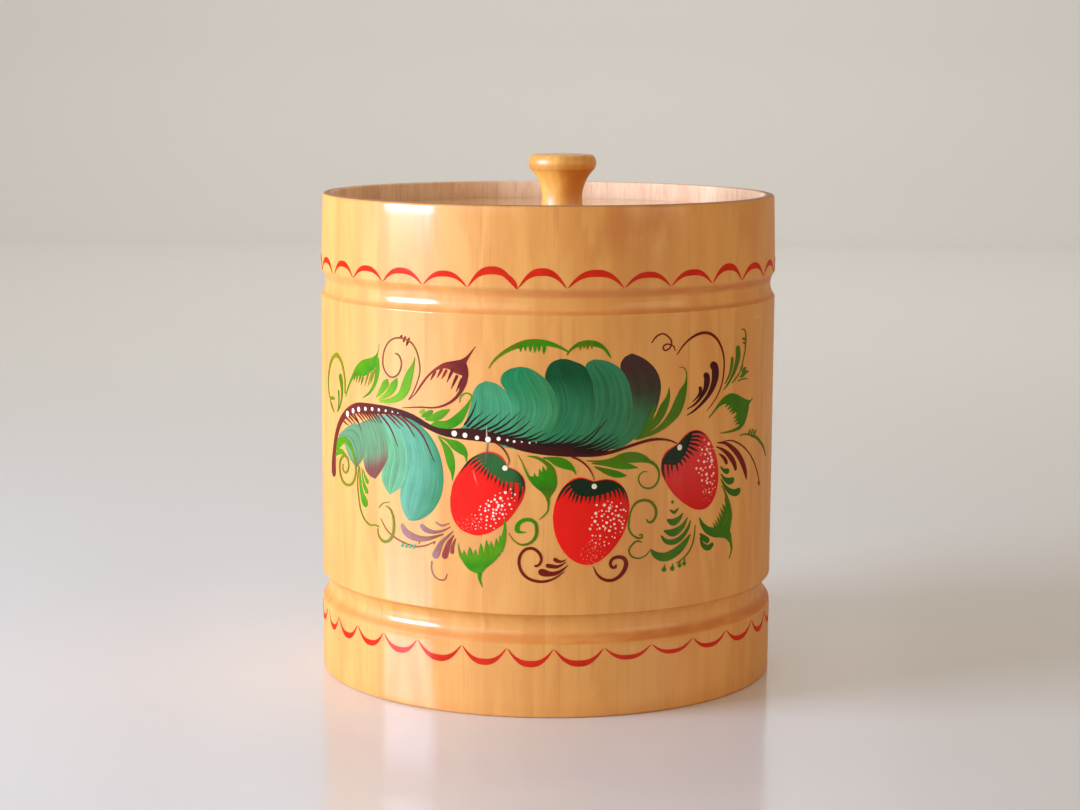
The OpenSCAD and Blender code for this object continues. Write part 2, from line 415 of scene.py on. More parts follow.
class PaintFilm:
    """Brush strokes on the wall, each a closed thin film.

    Strokes are laid out on the unrolled wall. A place is (s, z) in millimetres: s runs along the wall
    from the middle of the front to the right, and z is the height over the foot. Each vertex keeps its
    colour in the attribute "tint". In "brush" it keeps its run along the stroke, its run across it and
    a number of the stroke's own."""

    # Ends wider than this are round, and no stroke gets narrower than the second
    POINTED = 0.25
    THINNEST = 0.1
    # Rows of a stroke and of a patch: their crowding, their spacing and the most of them
    STROKE_ROWS = (1.6, 0.7, 90)
    PATCH_ROWS = (1.4, 0.8, 80)
    # Columns of a patch: their spacing, the fewest and the most of them
    COLUMN_SPACING = 1.1
    PATCH_COLUMNS = (5, 40)
    # Where the five columns of a stroke lie, in widths off its middle
    COLUMNS = np.array([-0.5, -0.36, 0, 0.36, 0.5])
    # Width of a flick at its middle over that at its base, and how far a tooth's middle is off its tip
    # in lengths of the tooth
    FLICK_WAIST = 0.75
    TOOTH_MIDDLE = 0.45
    # How much higher each sheet lies than the one before, and how far its edges drop in paint steps
    RISE = 0.0012
    EDGE_DROP = 0.6
    # Step between the strokes' own numbers
    SEED_STEP = 3.7
    # The drum's radius over the viewer's distance, the angle up to which the wall is seen, and the
    # angle past it over which the correction for the viewer fades away
    NEAR = 0.095
    SIDE = 1.28
    FADE = 0.6

    def __init__(self, context, coat=COAT.ground):
        self.size = in_mm(context.scene.canister_sizes)
        colours = context.scene.canister_paint
        self.palette = {n: linear(getattr(colours, n)) for n in colours.__annotations__}
        self.base = coat
        self.points, self.faces, self.tints, self.brushes = [], [], [], []
        self.count = 0

    def wrap(self, s, z, height):
        """A place on the unrolled wall, put at a height over the turned wall.

        Places are measured as seen from the front on a drum of the unrolled radius. A wall that stands
        out further by a share e shows a place turned back by e sin t / (cos t - near), where near is
        the drum's radius over the viewer's distance; towards the back this fades away."""
        turn = (s + self.size.spray_shift) / UNROLL_RADIUS
        wall = wall_radius(z, self.size)
        seen = np.clip(turn, -self.SIDE, self.SIDE)
        fade = np.cos(np.clip((np.abs(turn) - self.SIDE) / self.FADE, 0, 1) * math.pi / 2) ** 2
        turn = turn - (wall / UNROLL_RADIUS - 1) * np.sin(seen) / (np.cos(seen) - self.NEAR) * fade
        radius = wall + height
        return np.stack([radius * np.sin(turn), -radius * np.cos(turn), z], -1).reshape(-1, 3)

    def sheet(self, s, z, tint, along, across, layer):
        """Adds a film over a grid of places, thinner at its edges, with an underside in the wood."""
        rows, columns = s.shape
        film = self.size.film + self.size.film_step * (self.base + layer) + self.RISE * len(self.points)
        height = np.full((rows, columns), film)
        height[[0, -1], :] -= self.EDGE_DROP * self.size.film_step
        height[1:-1, [0, -1]] -= self.EDGE_DROP * self.size.film_step
        top = self.wrap(s, z, height)
        under = self.wrap(s, z, -self.size.film_key)
        count = rows * columns
        index = np.arange(count).reshape(rows, columns) + self.count
        rim = np.concatenate([index[:-1, 0], index[-1, :-1], index[:0:-1, -1], index[0, :0:-1]])
        after = np.roll(rim, -1)
        self.faces += [
            grid_quads(index),
            grid_quads(index)[:, ::-1] + count,
            np.stack([after, rim, rim + count, after + count], -1)]
        seed = np.full((rows, columns), self.SEED_STEP * len(self.points))
        brush = np.stack(np.broadcast_arrays(along, across, seed), -1).reshape(-1, 3)
        self.points += [top, under]
        self.tints += [tint.reshape(-1, 3)] * 2
        self.brushes += [brush] * 2
        self.count += 2 * count

    def tint(self, colours, run):
        """The palette's colours spread along a run."""
        return ramp([self.palette[c] for c in colours], run / run[-1])

    def stroke(self, points, *colours, layer=0, rows=None):
        """A brush stroke through (s, z, width), with round ends where it isn't pointed.

        Its edges lie half a width to either side of the smooth path, square to it."""
        rows = rows or row_count(path_length(points), *self.STROKE_ROWS)
        path, run = smooth_path(points, rows)
        width = np.maximum(path[:, 2], self.THINNEST)
        for end_width, distance in ((points[0][2], run), (points[-1][2], run[-1] - run)):
            if end_width > self.POINTED:
                share = np.clip(2 * distance / end_width, 0, 1)
                width = np.maximum(width * np.sqrt(1 - (1 - share) ** 2), self.THINNEST)
        along = np.gradient(path[:, :2], axis=0)
        along /= np.linalg.norm(along, axis=1, keepdims=True)
        across = self.COLUMNS * width[:, None]
        s = path[:, :1] - along[:, 1:] * across
        z = path[:, 1:2] + along[:, :1] * across
        tint = np.repeat(self.tint(colours, run)[:, None], len(self.COLUMNS), 1)
        self.sheet(s, z, tint, run[:, None], across, layer)

    def strokes(self, many, *colours, layer=0):
        """Several strokes of the same colours."""
        for points in many:
            self.stroke(points, *colours, layer=layer)

    def patch(self, one, other, *colours, layer=0, right=None):
        """A broad shape ruled between two smooth edges that run side by side.

        Colours change along the edges, towards those of the right edge where they are given."""
        rows = row_count(max(path_length(one), path_length(other)), *self.PATCH_ROWS)
        first, run = smooth_path(one, rows)
        second, _ = smooth_path(other, rows)
        gap = np.hypot(*(second - first).T)
        columns = int(np.clip(gap.max() / self.COLUMN_SPACING, *self.PATCH_COLUMNS))
        share = np.linspace(0, 1, columns)[None, :, None]
        place = first[:, None] * (1 - share) + second[:, None] * share
        tint = self.tint(colours, run)[:, None]
        far_tint = self.tint(right or colours, run)[:, None]
        tint = tint + (far_tint - tint) * share ** 2
        s, z = place[..., 0], place[..., 1]
        turned = (s[1:, :-1] - s[:-1, :-1]) * (z[:-1, 1:] - z[:-1, :-1])
        turned = turned - (z[1:, :-1] - z[:-1, :-1]) * (s[:-1, 1:] - s[:-1, :-1])
        across = share[..., 0] * gap.mean()
        if turned.sum() < 0:
            s, z, tint, across = s[:, ::-1], z[:, ::-1], tint[:, ::-1], across[:, ::-1]
        self.sheet(s, z, tint, run[:, None], across, layer)

    def flick(self, base, middle, tip, width, colour):
        """A stroke that narrows from its base to a fine tip."""
        waist = self.FLICK_WAIST * width
        self.stroke([(*base, width), (*middle, waist), (*tip, self.THINNEST)], colour)

    def comb(self, tips, lean, width, colour):
        """Straight tapered strokes to the given tips, all leaning alike, as a brush flicks teeth."""
        lean = np.asarray(lean, float)
        for tip in np.asarray(tips, float):
            self.flick(tip - lean, tip - self.TOOTH_MIDDLE * lean, tip, width, colour)

    def dots(self, places, *colours):
        """Round dots at (s, z, radius)."""
        for s, z, radius in places:
            ends = [(s - radius, z, 2 * radius), (s + radius, z, 2 * radius)]
            self.stroke(ends, *colours, rows=FEWEST_ROWS)

    def piece(self, name, paint="brushed_paint"):
        """Joins the strokes into one piece on the container."""
        piece = new_piece(name, np.concatenate(self.points), np.concatenate(self.faces).tolist(),
                          CONTAINER, paint_material(paint), sharp=60)
        tint = np.concatenate(self.tints)
        tint = np.concatenate([tint, np.ones((len(tint), 1))], 1).astype(np.float32)
        layer = piece.data.color_attributes.new("tint", "FLOAT_COLOR", "POINT")
        layer.data.foreach_set("color", tint.ravel())
        brush = piece.data.attributes.new("brush", "FLOAT_VECTOR", "POINT")
        brush.data.foreach_set("vector", np.concatenate(self.brushes).astype(np.float32).ravel())


# Shader nodes

class Wiring:
    """Makes nodes in one tree. A value that is a socket is linked, and any other is set."""

    def __init__(self, tree):
        self.tree = tree

    def link(self, value, socket):
        self.tree.links.new(value, socket)

    def node(self, kind, inputs=(), **settings):
        """A node of one kind with its settings, and with values for its inputs by name or number."""
        made = self.tree.nodes.new(kind)
        for name, value in settings.items():
            setattr(made, name, value)
        for key, value in dict(inputs).items():
            if isinstance(value, bpy.types.NodeSocket):
                self.link(value, made.inputs[key])
            else:
                made.inputs[key].default_value = value
        return made

    def math(self, operation, *values):
        return self.node("ShaderNodeMath", dict(enumerate(values)), operation=operation).outputs[0]

    def plus(self, one, other):
        return self.math("ADD", one, other)

    def minus(self, one, other):
        return self.math("SUBTRACT", one, other)

    def times(self, one, other):
        return self.math("MULTIPLY", one, other)

    def times_plus(self, value, factor, addend):
        return self.math("MULTIPLY_ADD", value, factor, addend)

    def about_one(self, value, spread):
        """A value from 0 to 1 as a factor that strays from 1 by half the spread either way."""
        return self.times_plus(self.minus(value, 0.5), spread, 1.0)

    def reach(self, x, y):
        """Distance from an upright axis."""
        return self.math("SQRT", self.plus(self.times(x, x), self.times(y, y)))

    def scaled(self, vector, factor):
        """A vector or colour times one number."""
        made = self.node("ShaderNodeVectorMath", {0: vector, "Scale": factor}, operation="SCALE")
        return made.outputs[0]

    def join(self, x, y, z):
        return self.node("ShaderNodeCombineXYZ", {0: x, 1: y, 2: z}).outputs[0]

    def split(self, vector):
        return self.node("ShaderNodeSeparateXYZ", {0: vector}).outputs

    def place(self):
        """X, Y and Z of the shaded place in millimetres."""
        return self.split(self.scaled(self.node("ShaderNodeTexCoord").outputs["Object"], 1 / MM))

    def lot(self, number):
        """A number drawn by lot from 0 to 1 for each whole number."""
        made = self.node("ShaderNodeTexWhiteNoise", {"W": number}, noise_dimensions="1D")
        return made.outputs["Value"]

    def noise(self, vector, detail=2.0, roughness=0.5, distortion=0.0, scale=1.0):
        made = self.node("ShaderNodeTexNoise", {
            "Vector": vector, "Scale": scale, "Detail": detail,
            "Roughness": roughness, "Distortion": distortion})
        return made.outputs["Fac"]

    def between(self, value, low, high, to_low=0.0, to_high=1.0):
        """A value's place between two limits, eased at both ends."""
        made = self.node("ShaderNodeMapRange", {
            "Value": value, "From Min": low, "From Max": high, "To Min": to_low, "To Max": to_high},
            interpolation_type="SMOOTHSTEP")
        return made.outputs[0]

    def band(self, value, low, full, fall, high):
        """Rises from low to full, stays, and falls again from fall to high."""
        return self.times(self.between(value, low, full), self.between(value, high, fall))

    def mix(self, factor, one, other):
        """One colour turning into another."""
        made = self.node("ShaderNodeMix", {"Factor": factor, 6: one, 7: other}, data_type="RGBA")
        return made.outputs[2]

    def timber(self, grain, pale, deep, streak, clouds, streaks):
        """Colour and fibres of the shared grain, in three displayed colours."""
        made = self.node("ShaderNodeGroup", {
            "Grain": grain, "Pale": rgba(pale), "Deep": rgba(deep), "Streak": rgba(streak),
            "Clouds": clouds, "Streaks": streaks}, node_tree=timber_group())
        return made.outputs["Color"], made.outputs["Fibre"]


def node_group(name, inputs, outputs):
    """A new shader node group, with its wiring and its input and output nodes."""
    tree = bpy.data.node_groups.new(name, "ShaderNodeTree")
    for socket, kind in inputs:
        tree.interface.new_socket(socket, in_out="INPUT", socket_type=kind)
    for socket, kind in outputs:
        tree.interface.new_socket(socket, in_out="OUTPUT", socket_type=kind)
    wires = Wiring(tree)
    return tree, wires, wires.node("NodeGroupInput").outputs, wires.node("NodeGroupOutput").inputs


def timber_group():
    """Shared grain of the wood. Its vector is in millimetres, with Z along the fibres.

    Broad clouds turn the pale colour into the deep one, long streaks and short flecks lay on the
    streak colour, and fine fibres lighten and darken all of it."""
    found = bpy.data.node_groups.get("timber")
    if found:
        return found
    tree, w, given, result = node_group(
        "timber",
        [("Grain", "NodeSocketVector"), ("Pale", "NodeSocketColor"), ("Deep", "NodeSocketColor"),
         ("Streak", "NodeSocketColor"), ("Clouds", "NodeSocketFloat"), ("Streaks", "NodeSocketFloat")],
        [("Color", "NodeSocketColor"), ("Fibre", "NodeSocketFloat")])
    x, y, z = w.split(given["Grain"])

    def drawn_out(across, along):
        """The grain's place with its own scales across and along the fibres."""
        return w.join(w.times(x, across), w.times(y, across), w.times(z, along))

    clouds = w.between(w.noise(drawn_out(0.1, 0.02), 3.0, 0.5, 0.6), 0.32, 0.68)
    colour = w.mix(w.times(clouds, given["Clouds"]), given["Pale"], given["Deep"])
    streak = w.between(w.noise(drawn_out(0.55, 0.016), 3.0, 0.6, 0.3), 0.56, 0.78)
    colour = w.mix(w.times(streak, given["Streaks"]), colour, given["Streak"])
    fleck = w.between(w.noise(drawn_out(1.6, 0.09)), 0.68, 0.84)
    colour = w.mix(w.times(w.times(fleck, given["Streaks"]), 0.35), colour, given["Streak"])
    fibre = w.noise(drawn_out(2.6, 0.05), 3.0, 0.6)
    w.link(w.scaled(colour, w.about_one(fibre, 0.12)), result["Color"])
    w.link(fibre, result["Fibre"])
    return tree


def brush_group():
    """Shared marks of the brush. Hairs comb the paint along each stroke, and it lies thick and thin."""
    found = bpy.data.node_groups.get("brush_marks")
    if found:
        return found
    tree, w, given, result = node_group(
        "brush_marks",
        [("Tint", "NodeSocketColor"), ("Brush", "NodeSocketVector"),
         ("Hairs", "NodeSocketFloat"), ("Combing", "NodeSocketFloat"), ("Pooling", "NodeSocketFloat")],
        [("Color", "NodeSocketColor"), ("Height", "NodeSocketFloat")])
    along, across, seed = w.split(given["Brush"])
    hairs = w.noise(w.join(w.times(along, 0.05), w.times(across, given["Hairs"]), seed), 3.0, 0.65)
    pools = w.noise(w.join(w.times(along, 0.16), w.times(across, 0.16), seed))
    combed = w.times(w.minus(hairs, 0.5), given["Combing"])
    pooled = w.times(w.minus(pools, 0.5), given["Pooling"])
    w.link(w.scaled(given["Tint"], w.plus(w.plus(combed, pooled), 1.0)), result["Color"])
    w.link(hairs, result["Height"])
    return tree


def new_material(name):
    """A new node material, its wiring and its Principled shader."""
    material = bpy.data.materials.new(name)
    material.use_nodes = True
    return material, Wiring(material.node_tree), material.node_tree.nodes["Principled BSDF"]


def lacquer(shader, weight, roughness, shine, ior=3.0):
    """A clear coat; the wood or paint under it shines less by itself."""
    shader.inputs["Specular IOR Level"].default_value = shine
    shader.inputs["Coat IOR"].default_value = ior
    shader.inputs["Coat Weight"].default_value = weight
    shader.inputs["Coat Roughness"].default_value = roughness


def finish_surface(wires, shader, colour, rough, height, bump):
    """Feeds the colour, the roughness and a bump of the given depth in millimetres to the shader."""
    made = wires.node("ShaderNodeBump", {"Strength": 1.0, "Distance": bump * MM, "Height": height})
    wires.link(colour, shader.inputs["Base Color"])
    wires.link(rough, shader.inputs["Roughness"])
    wires.link(made.outputs[0], shader.inputs["Normal"])


def stave_material(context):
    """Lacquered staves: upright grain that changes from stave to stave, raw wood inside the mouth.

    The place on the wall is the angle about the axis times the unrolled radius, and the stave's number
    is the angle over one stave's share of the turn."""
    colours = context.scene.canister_wood
    size = in_mm(context.scene.canister_sizes)
    staves = context.scene.canister_sizes.stave_count
    coat = 0.11
    material, w, shader = new_material("lacquered_stave")
    x, y, z = w.place()
    turn = w.math("ARCTAN2", x, w.times(y, -1.0))
    around = w.times(turn, UNROLL_RADIUS)
    radius = w.reach(x, y)
    # Each stave's grain is shifted by lot, so that no two look alike
    lot = w.lot(w.math("FLOOR", w.times_plus(turn, staves / (2 * math.pi), 1e-4)))
    shift = w.times(lot, 700.0)
    grain = w.join(w.times_plus(turn, UNROLL_RADIUS, shift), radius, w.plus(z, shift))
    wood, fibre = w.timber(grain, colours.pale, colours.deep, colours.amber, 0.8, 0.42)
    raw, _ = w.timber(grain, colours.raw_pale, colours.raw_deep, colours.raw_deep, 0.5, 0.4)
    colour = w.scaled(wood, w.about_one(lot, 0.06))

    def mottled(across, along, detail=2.0):
        """Noise on the unrolled wall with its own scales across and along the staves."""
        return w.noise(w.join(w.times(around, across), 0.0, w.times(z, along)), detail)

    # Darker bands in both grooves and at the foot, uneven, and less of it on the left: partly lacquer
    # pooled there, partly painted shade
    upper, upper_end = size.upper_edge, size.upper_edge + size.upper_height
    lower, lower_end = size.lower_edge, size.lower_edge - size.lower_height
    gathered_and_shaded = 0.0
    for low, full, fall, high, share in (
            (upper_end - 5.0, upper_end - 3.0, upper_end - 2.2, upper_end - 0.4, 0.85),
            (upper - 0.1, upper + 0.3, upper + 0.9, upper + 2.2, 0.75),
            (lower_end - 0.1, lower_end + 0.9, lower_end + 2.6, lower_end + 5.0, 0.85),
            (lower - 0.8, lower - 0.3, lower, lower + 0.2, 0.5),
            (-1.0, 0.0, 1.0, 8.0, 0.2)):
        gathered_and_shaded = w.times_plus(w.band(z, low, full, fall, high), share, gathered_and_shaded)
    gathered_and_shaded = w.times(gathered_and_shaded, w.between(mottled(0.07, 0.25), 0.3, 0.6, 0.6, 1.1))
    # Painted shade: the bands fade towards the lit left side
    gathered_and_shaded = w.times(gathered_and_shaded, w.between(w.math("SINE", turn), -0.7, 0.5, 0.4, 1.0))
    colour = w.mix(gathered_and_shaded, colour, rgba(colours.gathered_and_shaded))

    # A blotchy stained patch under the rim, to the right of the front
    stained = w.times(w.band(around, 2.0, 16.0, 46.0, 49.0), w.between(z, 166.0, 182.0))
    stained = w.times(stained, w.between(mottled(0.1, 0.05, 3.0), 0.3, 0.6))
    colour = w.mix(w.times(stained, 0.5), colour, rgba(colours.stain_and_shade))

    # Painted shade on the rim's top, full at the front and fading out towards the back
    rim = size.body_height
    top = w.times(w.between(z, rim - 0.5, rim - 0.1), w.between(y, 55.0, 5.0))
    colour = w.mix(w.times(top, 0.75), colour, rgba(colours.rim_top_shade))

    # Raw wood inside the lip, with the scraper's marks
    lip = size.body_radius - size.lip_wall
    inside = w.between(radius, lip + 0.6, lip + 0.1)
    scraped = w.times(w.between(mottled(0.9, 0.12), 0.5, 0.66), 0.35)
    colour = w.mix(inside, colour, w.mix(scraped, raw, rgba(colours.raw_deep)))

    # No clear coat on the raw wood or on the lower groove's soft shoulder
    lacquer(shader, coat, 0.13, 0.4)
    dull = w.band(z, lower_end - 1.5, lower_end, lower_end + 1.2, lower_end + 2.6)
    w.link(w.times_plus(w.math("MAXIMUM", inside, dull), -coat, coat), shader.inputs["Coat Weight"])
    rough = w.times_plus(inside, 0.35, w.times_plus(fibre, 0.14, 0.5))
    finish_surface(w, shader, colour, rough, fibre, bump=0.04)
    return material


def board_material(name, along, width, pale, deep, streak, coat):
    """Flat boards with their grain along X or Y, each board of its own tone.

    A board's number is its place across the grain over the board's width."""
    material, w, shader = new_material(name)
    x, y, z = w.place()
    run, across = (x, y) if along == "X" else (y, x)
    lot = w.lot(w.math("FLOOR", w.times_plus(across, 1 / width, 0.5)))
    shift = w.times(lot, 400.0)
    grain = w.join(w.plus(across, shift), z, w.plus(run, shift))
    wood, fibre = w.timber(grain, pale, deep, streak, 0.8, 0.6)
    rough = w.times_plus(fibre, 0.2, 0.36 if coat else 0.6)
    lacquer(shader, coat, 0.08, 0.3, 1.6)
    finish_surface(w, shader, w.scaled(wood, w.about_one(lot, 0.16)), rough, fibre, bump=0.06)
    return material


def knob_material(context):
    """Lacquered knob: upright fibres on its sides and growth rings across its top.

    Rings are the distance from a pith off to one side; their lines widen into each other by noise."""
    colours = context.scene.canister_wood
    size = in_mm(context.scene.canister_sizes)
    material, w, shader = new_material("lacquered_knob")
    x, y, z = w.place()
    x = w.minus(x, size.knob_offset)
    z = w.minus(z, size.knob_foot)
    grain = w.join(w.times(x, 1.6), w.times(y, 1.6), z)
    colour, fibre = w.timber(grain, colours.knob_pale, colours.knob_deep, colours.amber, 0.8, 0.3)
    amber = rgba(colours.amber)
    head = size.knob_height - size.head_height

    pith = w.reach(w.plus(x, 19.0), w.plus(y, 6.0))
    wander = w.noise(w.scaled(w.join(x, y, w.times(z, 0.3)), 0.12))
    rings = w.math("SINE", w.times(w.times_plus(wander, 5.0, pith), 2.1))
    colour = w.mix(w.times(w.between(rings, 0.2, 1.0), 0.14), colour, amber)

    # Painted shade: a darker line round the head's lower edge, and a darker hollow on the neck's shaded
    # right side
    edge = w.band(z, head - 0.7, head + 0.3, head + 0.9, head + 3.1)
    colour = w.mix(w.times(edge, 0.35), colour, amber)
    hollow = w.times(w.between(z, 0.0, 9.0, 0.2, 1.0), w.between(z, head + 0.5, head - 0.5))
    hollow = w.times(hollow, w.between(x, -4.0, 5.0))
    colour = w.mix(w.times(hollow, 0.7), colour, rgba(colours.stain_and_shade))

    lacquer(shader, 0.1, 0.42, 0.4)
    finish_surface(w, shader, colour, w.times_plus(fibre, 0.14, 0.3), fibre, bump=0.04)
    return material


# Each paint: hairs of the brush per millimetre, how much they comb the colour, how much it pools
PAINTS = {
    "brushed_paint": (1.4, 0.4, 0.6),
    "feathered_paint": (2.2, 1.5, 0.3),
    "berry_paint": (0.5, 0.12, 0.18),
}


def paint_material(name):
    """Lacquered paint that takes its colour from the strokes, with its own marks of the brush."""
    if name in bpy.data.materials:
        return bpy.data.materials[name]
    hairs, combing, pooling = PAINTS[name]
    material, w, shader = new_material(name)
    tint = w.node("ShaderNodeAttribute", attribute_name="tint")
    brush = w.node("ShaderNodeAttribute", attribute_name="brush")
    marks = w.node("ShaderNodeGroup", {
        "Tint": tint.outputs["Color"], "Brush": brush.outputs["Vector"],
        "Hairs": hairs, "Combing": combing, "Pooling": pooling}, node_tree=brush_group()).outputs
    lacquer(shader, 0.06, 0.13, 0.04)
    rough = w.times_plus(marks["Height"], 0.2, 0.4)
    finish_surface(w, shader, marks["Color"], rough, marks["Height"], bump=0.03)
    return material


# Operators

class CANISTER_OT_staves(bpy.types.Operator):
    """Builds the staves, each a sector of the turned wall"""

    bl_idname = "canister.staves"
    bl_label = "Staves"

    # Steps round one stave
    STEPS = 20

    def execute(self, context):
        size = in_mm(context.scene.canister_sizes)
        section = wall_section(size)
        count = context.scene.canister_sizes.stave_count
        share = 2 * math.pi / count
        material = stave_material(context)
        for number in range(1, count + 1):
            points, faces = sector(section, (number - 1) * share, number * share, self.STEPS)
            stave = new_piece(f"lacquered_stave_{number:02d}", points, faces, CONTAINER, material)
            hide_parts(f"stave_{number:02d}")
        return {"FINISHED"}


class CANISTER_OT_boards(bpy.types.Operator):
    """Gives the base and lid boards their wood"""

    bl_idname = "canister.boards"
    bl_label = "Base and lid boards"

    # Widths of the middle boards, in millimetres
    LID_BOARD = 64.0
    BASE_BOARD = 60.0

    def execute(self, context):
        c = context.scene.canister_wood
        lid = board_material("lacquered_lid", "X", self.LID_BOARD, c.pale, c.deep, c.amber, 1.0)
        base = board_material("raw_base", "Y", self.BASE_BOARD, c.raw_pale, c.raw_deep, c.raw_deep, 0.0)
        for names, material in (
                (("lid_board_front", "lid_board_middle", "lid_board_back"), lid),
                (("base_board_left", "base_board_middle", "base_board_right"), base)):
            for name in names:
                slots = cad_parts[name].data.materials
                slots.clear()
                slots.append(material)
        return {"FINISHED"}


class CANISTER_OT_knob(bpy.types.Operator):
    """Builds the turned knob"""

    bl_idname = "canister.knob"
    bl_label = "Knob"

    # Steps round the knob
    STEPS = 96

    def execute(self, context):
        size = in_mm(context.scene.canister_sizes)
        points, faces = revolved(knob_section(size), size.knob_offset, self.STEPS)
        knob = new_piece("turned_knob", points, faces, LID, knob_material(context))
        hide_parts("knob")
        return {"FINISHED"}


class CANISTER_OT_scallops(bpy.types.Operator):
    """Paints the two scalloped borders, a row of crescents each"""

    bl_idname = "canister.scallops"
    bl_label = "Scalloped borders"

    # Height of the cusps and of an even crest, thickness of a crescent, and pitch round the back
    UPPER = (160.6, 166.4, 2.3, 19.2)
    LOWER = (26.4, 20.0, 2.3, 18.4)
    # Half the gap between crescents, and how much thicker one is that rises higher
    GAP = 0.1
    BOLDER = 0.35
    # Where neighbouring crescents meet, from left to right round the front, and the crests between
    UPPER_CUSPS = (-104, -86.5, -68, -48.5, -30, -11, 7, 28.5, 47.5, 67.5, 86, 106)
    UPPER_CRESTS = (166.5, 166, 166.4, 166.2, 168.4, 168, 167.4, 166.3, 166.4, 167.6, 166.7)
    LOWER_CUSPS = (-115, -101, -84.5, -68, -51, -32, -14.5, 3, 22, 41, 60, 79, 99.5)
    LOWER_CRESTS = (19.8, 19.6, 20, 20.1, 19.4, 19.6, 19.5, 19.7, 21.4, 21.8, 21.4, 20.6)

    # Where the brush pressed harder on the way down
    HEAVY_LEG = ((-17, 166, 1.2), (-14.2, 164.2, 1.9), (-12.2, 162, 1.6), (-11.2, 160.1, 0.4))

    # Small pale chips in the lacquer below the upper groove
    CHIPS = (((99.2, 145.7, 0.5), (100.2, 145.5, 0.9), (101.6, 145.2, 0.4)),
             ((103.2, 143.6, 0.4), (104.1, 143.3, 0.9), (105.1, 143.2, 0.4)))

    @staticmethod
    def crescent(film, start, stop, cusp, crest, thick):
        """A crescent from cusp to cusp, thick in its middle and closing to a point at both ends.

        With t from -1 to 1 along it, the outer edge rises to the crest as 1 - |t|^2.4, and the inner
        edge lies below it by the thickness times 1 - 0.75 t^2, which closes over the last tenth."""
        t = np.linspace(-1, 1, 23)
        s = start + (stop - start) * (t + 1) / 2
        up = math.copysign(1, crest - cusp)
        outer = cusp + (crest - cusp) * (1 - np.abs(t) ** 2.4)
        body = thick * (1 - 0.75 * t ** 2) * np.clip((1 - np.abs(t)) / 0.1, 0.06, 1)
        film.patch(np.stack([s, outer], -1), np.stack([s, outer - up * body], -1), "border_red")

    def border(self, film, cusps, crests, cusp, crest, thick, pitch):
        """The seen crescents, and then even ones of about the given pitch round the back."""
        rest = 2 * math.pi * UNROLL_RADIUS - (cusps[-1] - cusps[0])
        more = round(rest / pitch)
        cusps = np.concatenate([cusps, cusps[-1] + rest * np.arange(1, more + 1) / more])
        crests = np.concatenate([crests, np.full(more, crest)])
        for start, stop, top in zip(cusps[:-1], cusps[1:], crests):
            bold = thick + self.BOLDER * (top - crest) * math.copysign(1, crest - cusp)
            self.crescent(film, start + self.GAP, stop - self.GAP, cusp, top, bold)

    def execute(self, context):
        upper, lower = PaintFilm(context), PaintFilm(context)
        self.border(upper, self.UPPER_CUSPS, self.UPPER_CRESTS, *self.UPPER)
        upper.stroke(self.HEAVY_LEG, "border_red", layer=1)
        self.border(lower, self.LOWER_CUSPS, self.LOWER_CRESTS, *self.LOWER)
        upper.piece("upper_scallops")
        lower.piece("lower_scallops")
        chips = PaintFilm(context)
        chips.strokes(self.CHIPS, "chip")
        chips.piece("chips")
        return {"FINISHED"}


class CANISTER_OT_stem(bpy.types.Operator):
    """Paints the dark stem with its white dots"""

    bl_idname = "canister.stem"
    bl_label = "Stem"

    # Strokes through (s, z, width) and dots at (s, z, radius)
    STEM = (
        (-105.9, 81.3, 5.4), (-106, 86, 4.8), (-104.8, 92, 3.6), (-102.5, 98, 3), (-99, 103, 2.7),
        (-95, 106.5, 2.8), (-90, 109.2, 3.5), (-84, 111.2, 4), (-77, 111.8, 4), (-70, 112.2, 3.5),
        (-63, 112.3, 2.8), (-57, 111.8, 2.4), (-52, 110.6, 2.2), (-48, 108.8, 2.1), (-44, 107.3, 2.1),
        (-40, 106.4, 2.6), (-35, 106.2, 3.6), (-30, 106.3, 4.4), (-25, 106, 4.3), (-20, 105.4, 3.8),
        (-15, 104.4, 3.6), (-10, 103, 3.8), (-5, 102, 3.9), (0, 101.3, 3.9), (5, 101.1, 4.2),
        (9, 100.6, 3.8), (12, 100.1, 2.8), (16, 99.6, 2), (20, 99.6, 1.5), (25, 100.4, 1.2),
        (30, 101.8, 1.1), (35, 103.1, 1.1), (40, 104, 1.1), (44, 103.9, 0.9), (48, 103.1, 0.7),
        (51, 101.8, 0.4))
    BERRY_STALKS = (
        ((-20, 104, 0.5), (-17, 102.3, 0.6), (-14.8, 99.5, 0.5), (-13.9, 97, 0.4), (-14.3, 95.3, 0.2)),
        ((9, 98.8, 0.7), (12, 97.5, 0.7), (15, 95, 0.6), (16.9, 92, 0.5), (17.6, 89.8, 0.3)))
    DOTS = (
        (-91.3, 108, 1.2), (-86.8, 109.7, 1.0), (-82.7, 110.8, 1.0), (-78.2, 111.5, 0.8),
        (-74, 111.9, 0.7), (-70.1, 112, 0.6), (-66.3, 112.1, 0.5), (-62.8, 112, 0.4), (-60, 111.8, 0.25),
        (-35, 106.2, 1.1), (-30.7, 105.8, 0.95), (-26, 105.1, 0.8), (-21.8, 104.7, 1.05),
        (-17.8, 105.1, 0.75), (-14.5, 104.7, 0.5), (-12, 104.3, 0.5), (-9.2, 104.2, 0.3),
        (-6.3, 103.9, 0.35), (-3.9, 104.1, 0.2))
    SCRATCH = ((-22.4, 109.4, 0.2), (-22.3, 106, 0.55), (-22.2, 102, 0.5), (-22.4, 99, 0.45),
               (-22.6, 95.5, 0.2))

    def execute(self, context):
        film = PaintFilm(context, COAT.stem)
        film.stroke(self.STEM, "stem_red", "stem_red", "stem", "stem", "stem", "brown")
        film.strokes(self.BERRY_STALKS, "brown", "brown", "brown_pale")
        film.stroke(self.SCRATCH, "scratch", "scratch", "cap_worn", "cap_worn", layer=1)
        film.piece("stem")
        dots = PaintFilm(context, COAT.dot)
        dots.dots(self.DOTS, "cream")
        dots.piece("stem_dots")
        return {"FINISHED"}


